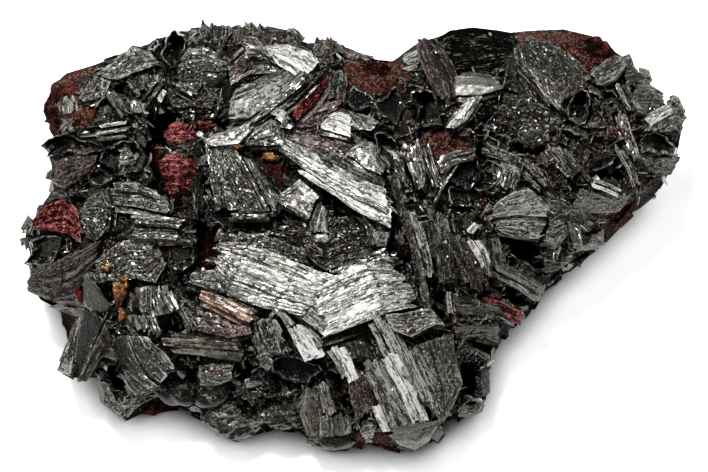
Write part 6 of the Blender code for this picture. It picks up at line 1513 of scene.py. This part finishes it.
class StudioSettings(bpy.types.PropertyGroup):
    """The stage."""
    distance: FloatProperty(name="Camera distance", description="From the specimen to the camera",
                            default=0.95, unit="LENGTH")
    view_width: FloatProperty(name="View width", description="What the camera takes in across",
                              default=0.12567, unit="LENGTH")
    key: FloatProperty(name="Key light", description="Power of the main softbox",
                       default=11.6, unit="POWER")
    overhead: FloatProperty(name="Overhead", description="Power of the wide softbox above",
                            default=0.5, unit="POWER")
    front: FloatProperty(name="Front light", description="Power of the small light by the camera",
                         default=0.4, unit="POWER")
    fill: FloatProperty(name="Fill light", description="Power of the side softboxes",
                        default=1.0, unit="POWER")
    sky: FloatProperty(name="Surroundings", description="Brightness of the white surroundings",
                       default=0.05)
    glow: FloatProperty(name="Light table", description="Brightness of the paper from below", default=0.8)
    contact: FloatProperty(name="Contact shadow", default=0.007, unit="LENGTH",
                           description="How far round the specimen the paper is darker")
    paper: FloatVectorProperty(name="Paper", description="Colour of the floor",
                               default=(0.9, 0.9, 0.9), subtype="COLOR")


class CrustSettings(bpy.types.PropertyGroup):
    """The crust."""
    fine: FloatProperty(name="Facet size", description="Size of the facets of a crystal's broken surface",
                        default=1.0, min=0.3, max=4)
    spacing: FloatProperty(name="Splinter spacing", description="Between small crystals, in mm",
                           default=1.15, min=0.5)
    walls: IntProperty(name="Thin walls", description="Ragged walls of hollow crystals between the others",
                       default=550)
    edge: IntProperty(name="Rim splinters", description="Small crystals over the rim and the hidden side",
                      default=900)
    druse: IntProperty(name="Druse", description="Sparkling grains on the granular faces", default=6000)


class SPECIMEN_OT_stage(bpy.types.Operator):
    """Make the paper floor, the softboxes and the camera"""
    bl_idname = "specimen.stage"
    bl_label = "Stage"

    def execute(self, context):
        settings, scene = context.scene.specimen_studio, context.scene
        floor = bmesh.new()
        bmesh.ops.create_grid(floor, x_segments=1, y_segments=1, size=1.5)
        data = bpy.data.meshes.new("paper")
        floor.to_mesh(data)
        floor.free()
        paper = bpy.data.objects.new("paper", data)
        scene.collection.objects.link(paper)
        material = bpy.data.materials.new("paper")
        material.use_nodes = True
        tree = material.node_tree
        sheet = tree.nodes["Principled BSDF"]
        sheet.inputs["Base Color"].default_value = (*settings.paper, 1)
        sheet.inputs["Roughness"].default_value = 0.9
        sheet.inputs["Emission Strength"].default_value = settings.glow
        # painted light: the paper glows, and close round the specimen the glow fades into a painted contact
        # shadow
        near = add_node(tree, "ShaderNodeAmbientOcclusion", samples=8, Distance=settings.contact)
        tree.links.new(fraction(tree, near.outputs["AO"], 0.3, 0.9), sheet.inputs["Emission Color"])
        data.materials.append(material)
        surroundings = bpy.data.worlds.new("surroundings")
        surroundings.use_nodes = True
        white = surroundings.node_tree.nodes["Background"].inputs
        white["Color"].default_value, white["Strength"].default_value = (1, 1, 1, 1), settings.sky
        scene.world = surroundings
        for name, place, size, power in (("key", (-0.15, 0.15, 0.89), 0.20, settings.key),
                                         ("overhead", (0.0, 0.05, 1.1), 1.3, settings.overhead),
                                         ("front", (-0.14, -0.22, 0.85), 0.15, settings.front),
                                         ("left", (-0.75, 0.05, 0.45), 0.3, settings.fill),
                                         ("right", (0.7, 0.25, 0.5), 0.3, settings.fill)):
            lamp = bpy.data.lights.new(name, "AREA")
            lamp.energy, lamp.size = power, size
            thing = bpy.data.objects.new(name, lamp)
            thing.location = place
            toward = Vector((0, 0, 0.02)) - Vector(place)
            thing.rotation_euler = toward.to_track_quat("-Z", "Y").to_euler()
            scene.collection.objects.link(thing)
        aim = Vector(world(np.array(0.0), np.array(0.0), np.array(6.0)))
        lens = bpy.data.cameras.new("camera")
        lens.lens = lens.sensor_width * settings.distance / settings.view_width
        lens.clip_start, lens.clip_end = 0.05, 10
        camera = bpy.data.objects.new("camera", lens)
        away = Vector((0, -math.cos(LEAN), math.sin(LEAN)))
        camera.location = aim + away * settings.distance
        camera.rotation_euler = (-away).to_track_quat("-Z", "Y").to_euler()
        scene.collection.objects.link(camera)
        scene.camera = camera
        scene.view_settings.view_transform = "Standard"
        return {"FINISHED"}


class SPECIMEN_OT_ironstone(bpy.types.Operator):
    """Make the brown ironstone that the crystals grew on"""
    bl_idname = "specimen.ironstone"
    bl_label = "Ironstone"

    def execute(self, context):
        solid = frame["nodes"]["matrix"]
        data = solid.data.copy()
        mesh = bmesh.new()
        mesh.from_mesh(data)
        bmesh.ops.remove_doubles(mesh, verts=mesh.verts, dist=1e-6)
        mesh.to_mesh(data)
        mesh.free()
        rough = bpy.data.objects.new("ironstone form", data)
        context.scene.collection.objects.link(rough)
        step = rough.modifiers.new("even", "REMESH")
        step.mode, step.voxel_size = "VOXEL", 0.001
        context.view_layer.update()
        stone = bpy.data.meshes.new_from_object(rough.evaluated_get(context.evaluated_depsgraph_get()))
        stone.name = "ironstone"
        bpy.data.objects.remove(rough)
        bpy.data.meshes.remove(data)
        co, normal = read(stone.vertices, "co", 3).astype(float), read(stone.vertices, "normal", 3)
        mm = co / MM
        chip, crack, number = chips(mm[:, 0] + mm[:, 2] * 0.5, mm[:, 1] + mm[:, 2] * 0.6, 3)
        push = 0.55 * (chip - 0.5) - 0.5 * np.clip(0.3 - crack, 0, 1)
        push += 1.5 * (ripple(mm[:, 0] / 3 + mm[:, 2] / 4, mm[:, 1] / 3 - mm[:, 2] / 4, 9) - 0.5)
        co += normal * (push * MM * np.clip(mm[:, 2] / 2, 0, 1))[:, None]
        # on its right it ends where the crust does
        up = (mm[:, 1] - PLANE_AT[1]) * math.sin(LEAN) + (mm[:, 2] - PLANE_AT[2]) * math.cos(LEAN)
        outside = share(mm[:, 0] - PLANE_AT[0], up)
        co[:, 0] /= np.where(mm[:, 0] > STONE_END, np.maximum(outside + 0.01, 1), 1)
        co[:, 2] = np.where(mm[:, 2] < 0.2, 0.0, np.maximum(co[:, 2], 0.0))
        stone.vertices.foreach_set("co", co.astype(np.float32).ravel())
        # painted shade: the stone darker where its relief dips
        shade = np.stack([np.clip(0.75 + 0.5 * push, 0.2, 1), 0 * push, number], -1)
        chart_and_shade(stone, mm[:, :2], shade)
        stone.shade_smooth()
        place_piece(stone, crystal_material("ironstone", STONE), "matrix")
        return {"FINISHED"}


class SPECIMEN_OT_bed(bpy.types.Operator):
    """Make the dark bed of the crust, with its pits"""
    bl_idname = "specimen.bed"
    bl_label = "Bed"

    def execute(self, context):
        place_piece(make_bed().mesh("crust_bed", 40), crystal_material("bed", BED, STONE))
        return {"FINISHED"}


class CrystalFamily:
    """What the operators for the listed crystals share."""
    family = ""

    def execute(self, context):
        make_family(self.family, context.scene.specimen_crust.fine)
        return {"FINISHED"}


class SPECIMEN_OT_silver(CrystalFamily, bpy.types.Operator):
    """Make the silver and white crystals"""
    bl_idname = "specimen.silver"
    bl_label = "Silver crystals"
    family = "silver"


class SPECIMEN_OT_black(CrystalFamily, bpy.types.Operator):
    """Make the slate-grey and black crystals"""
    bl_idname = "specimen.black"
    bl_label = "Black crystals"
    family = "black"


class SPECIMEN_OT_granular(CrystalFamily, bpy.types.Operator):
    """Make the granular crystals"""
    bl_idname = "specimen.granular"
    bl_label = "Granular crystals"
    family = "granular"


class SPECIMEN_OT_brown(CrystalFamily, bpy.types.Operator):
    """Make the red, brown and ochre crystals"""
    bl_idname = "specimen.brown"
    bl_label = "Brown crystals"
    family = "brown"


class SPECIMEN_OT_hollow(bpy.types.Operator):
    """Make the open crystals with their thin walls"""
    bl_idname = "specimen.hollow"
    bl_label = "Open crystals"

    def execute(self, context):
        bank, pick = Bank(), random.Random(3)
        for lift, deep, lean, mouth in OPEN_CRYSTALS:
            add_open_crystal(bank, mouth, lift, deep, lean, pick)
        place_piece(bank.mesh("open_crystals"), finish_material("steel"))
        return {"FINISHED"}


class SPECIMEN_OT_splinters(bpy.types.Operator):
    """Fill the gaps between the crystals, and the rim, with small splinters"""
    bl_idname = "specimen.splinters"
    bl_label = "Splinters"

    def execute(self, context):
        settings, pick = context.scene.specimen_crust, random.Random(5)
        rows, edge = splinter_rows(settings.spacing, pick), edge_rows(settings.edge, pick)
        forms = [shard_form(kind, pick) for kind in ("lath", "wedge", "chip", "needle", "lath", "wedge")]
        scatter("thin_walls", wall_rows(settings.walls, pick), [wall_form(pick) for _ in range(5)],
                finish_material("frost"), 9)
        for i, finish in enumerate(rows):
            scatter(finish + "_splinters", rows[finish] + edge.get(finish, []), forms,
                    finish_material(finish), i)
        return {"FINISHED"}


class SPECIMEN_OT_druse(bpy.types.Operator):
    """Strew sparkling grains over the granular faces"""
    bl_idname = "specimen.druse"
    bl_label = "Druse"

    def execute(self, context):
        settings, pick = context.scene.specimen_crust, random.Random(8)
        forms = [grain_form(pick) for _ in range(4)]
        for i, (name, part, size) in enumerate((("rough", 0.4, 0.4), ("grain", 0.3, 0.28),
                                                ("green", 0.2, 0.4), ("granite", 0.15, 0.25))):
            rows = druse_rows(name + "_crystals", int(settings.druse * part), size, pick)
            scatter(name + "_druse", rows, forms, finish_material(name), i)
        rows = druse_rows("crust_bed", settings.druse, 0.4, pick, 0.25)
        scatter("bed_druse", rows, forms, finish_material("rough"), 5)
        rows, brown = stone_rows(settings.druse, pick), bpy.data.materials["ironstone"]
        scatter("ironstone_grains", rows, forms, brown, 7)
        return {"FINISHED"}


class SPECIMEN_PT_panel(bpy.types.Panel):
    """The specimen's panel in the sidebar"""
    bl_idname = "SPECIMEN_PT_panel"
    bl_label = "Goethite Pseudomorph"
    bl_space_type = "VIEW_3D"
    bl_region_type = "UI"
    bl_category = "Specimen"

    def draw(self, context):
        for group in (context.scene.specimen_studio, context.scene.specimen_crust):
            for name in group.__annotations__:
                self.layout.prop(group, name)
        for operator in OPERATORS:
            self.layout.operator(operator.bl_idname)


OPERATORS = (SPECIMEN_OT_stage, SPECIMEN_OT_ironstone, SPECIMEN_OT_bed, SPECIMEN_OT_silver,
             SPECIMEN_OT_black, SPECIMEN_OT_granular, SPECIMEN_OT_brown, SPECIMEN_OT_hollow,
             SPECIMEN_OT_splinters, SPECIMEN_OT_druse)
CLASSES = (StudioSettings, CrustSettings, *OPERATORS, SPECIMEN_PT_panel)


def register():
    for each in CLASSES:
        bpy.utils.register_class(each)
    bpy.types.Scene.specimen_studio = PointerProperty(type=StudioSettings)
    bpy.types.Scene.specimen_crust = PointerProperty(type=CrustSettings)


def unregister():
    del bpy.types.Scene.specimen_crust
    del bpy.types.Scene.specimen_studio
    for each in reversed(CLASSES):
        bpy.utils.unregister_class(each)


def main():
    """Make everything in order."""
    register()
    for operator in OPERATORS:
        module, name = operator.bl_idname.split(".")
        getattr(getattr(bpy.ops, module), name)()


if __name__ == "__main__":
    main()
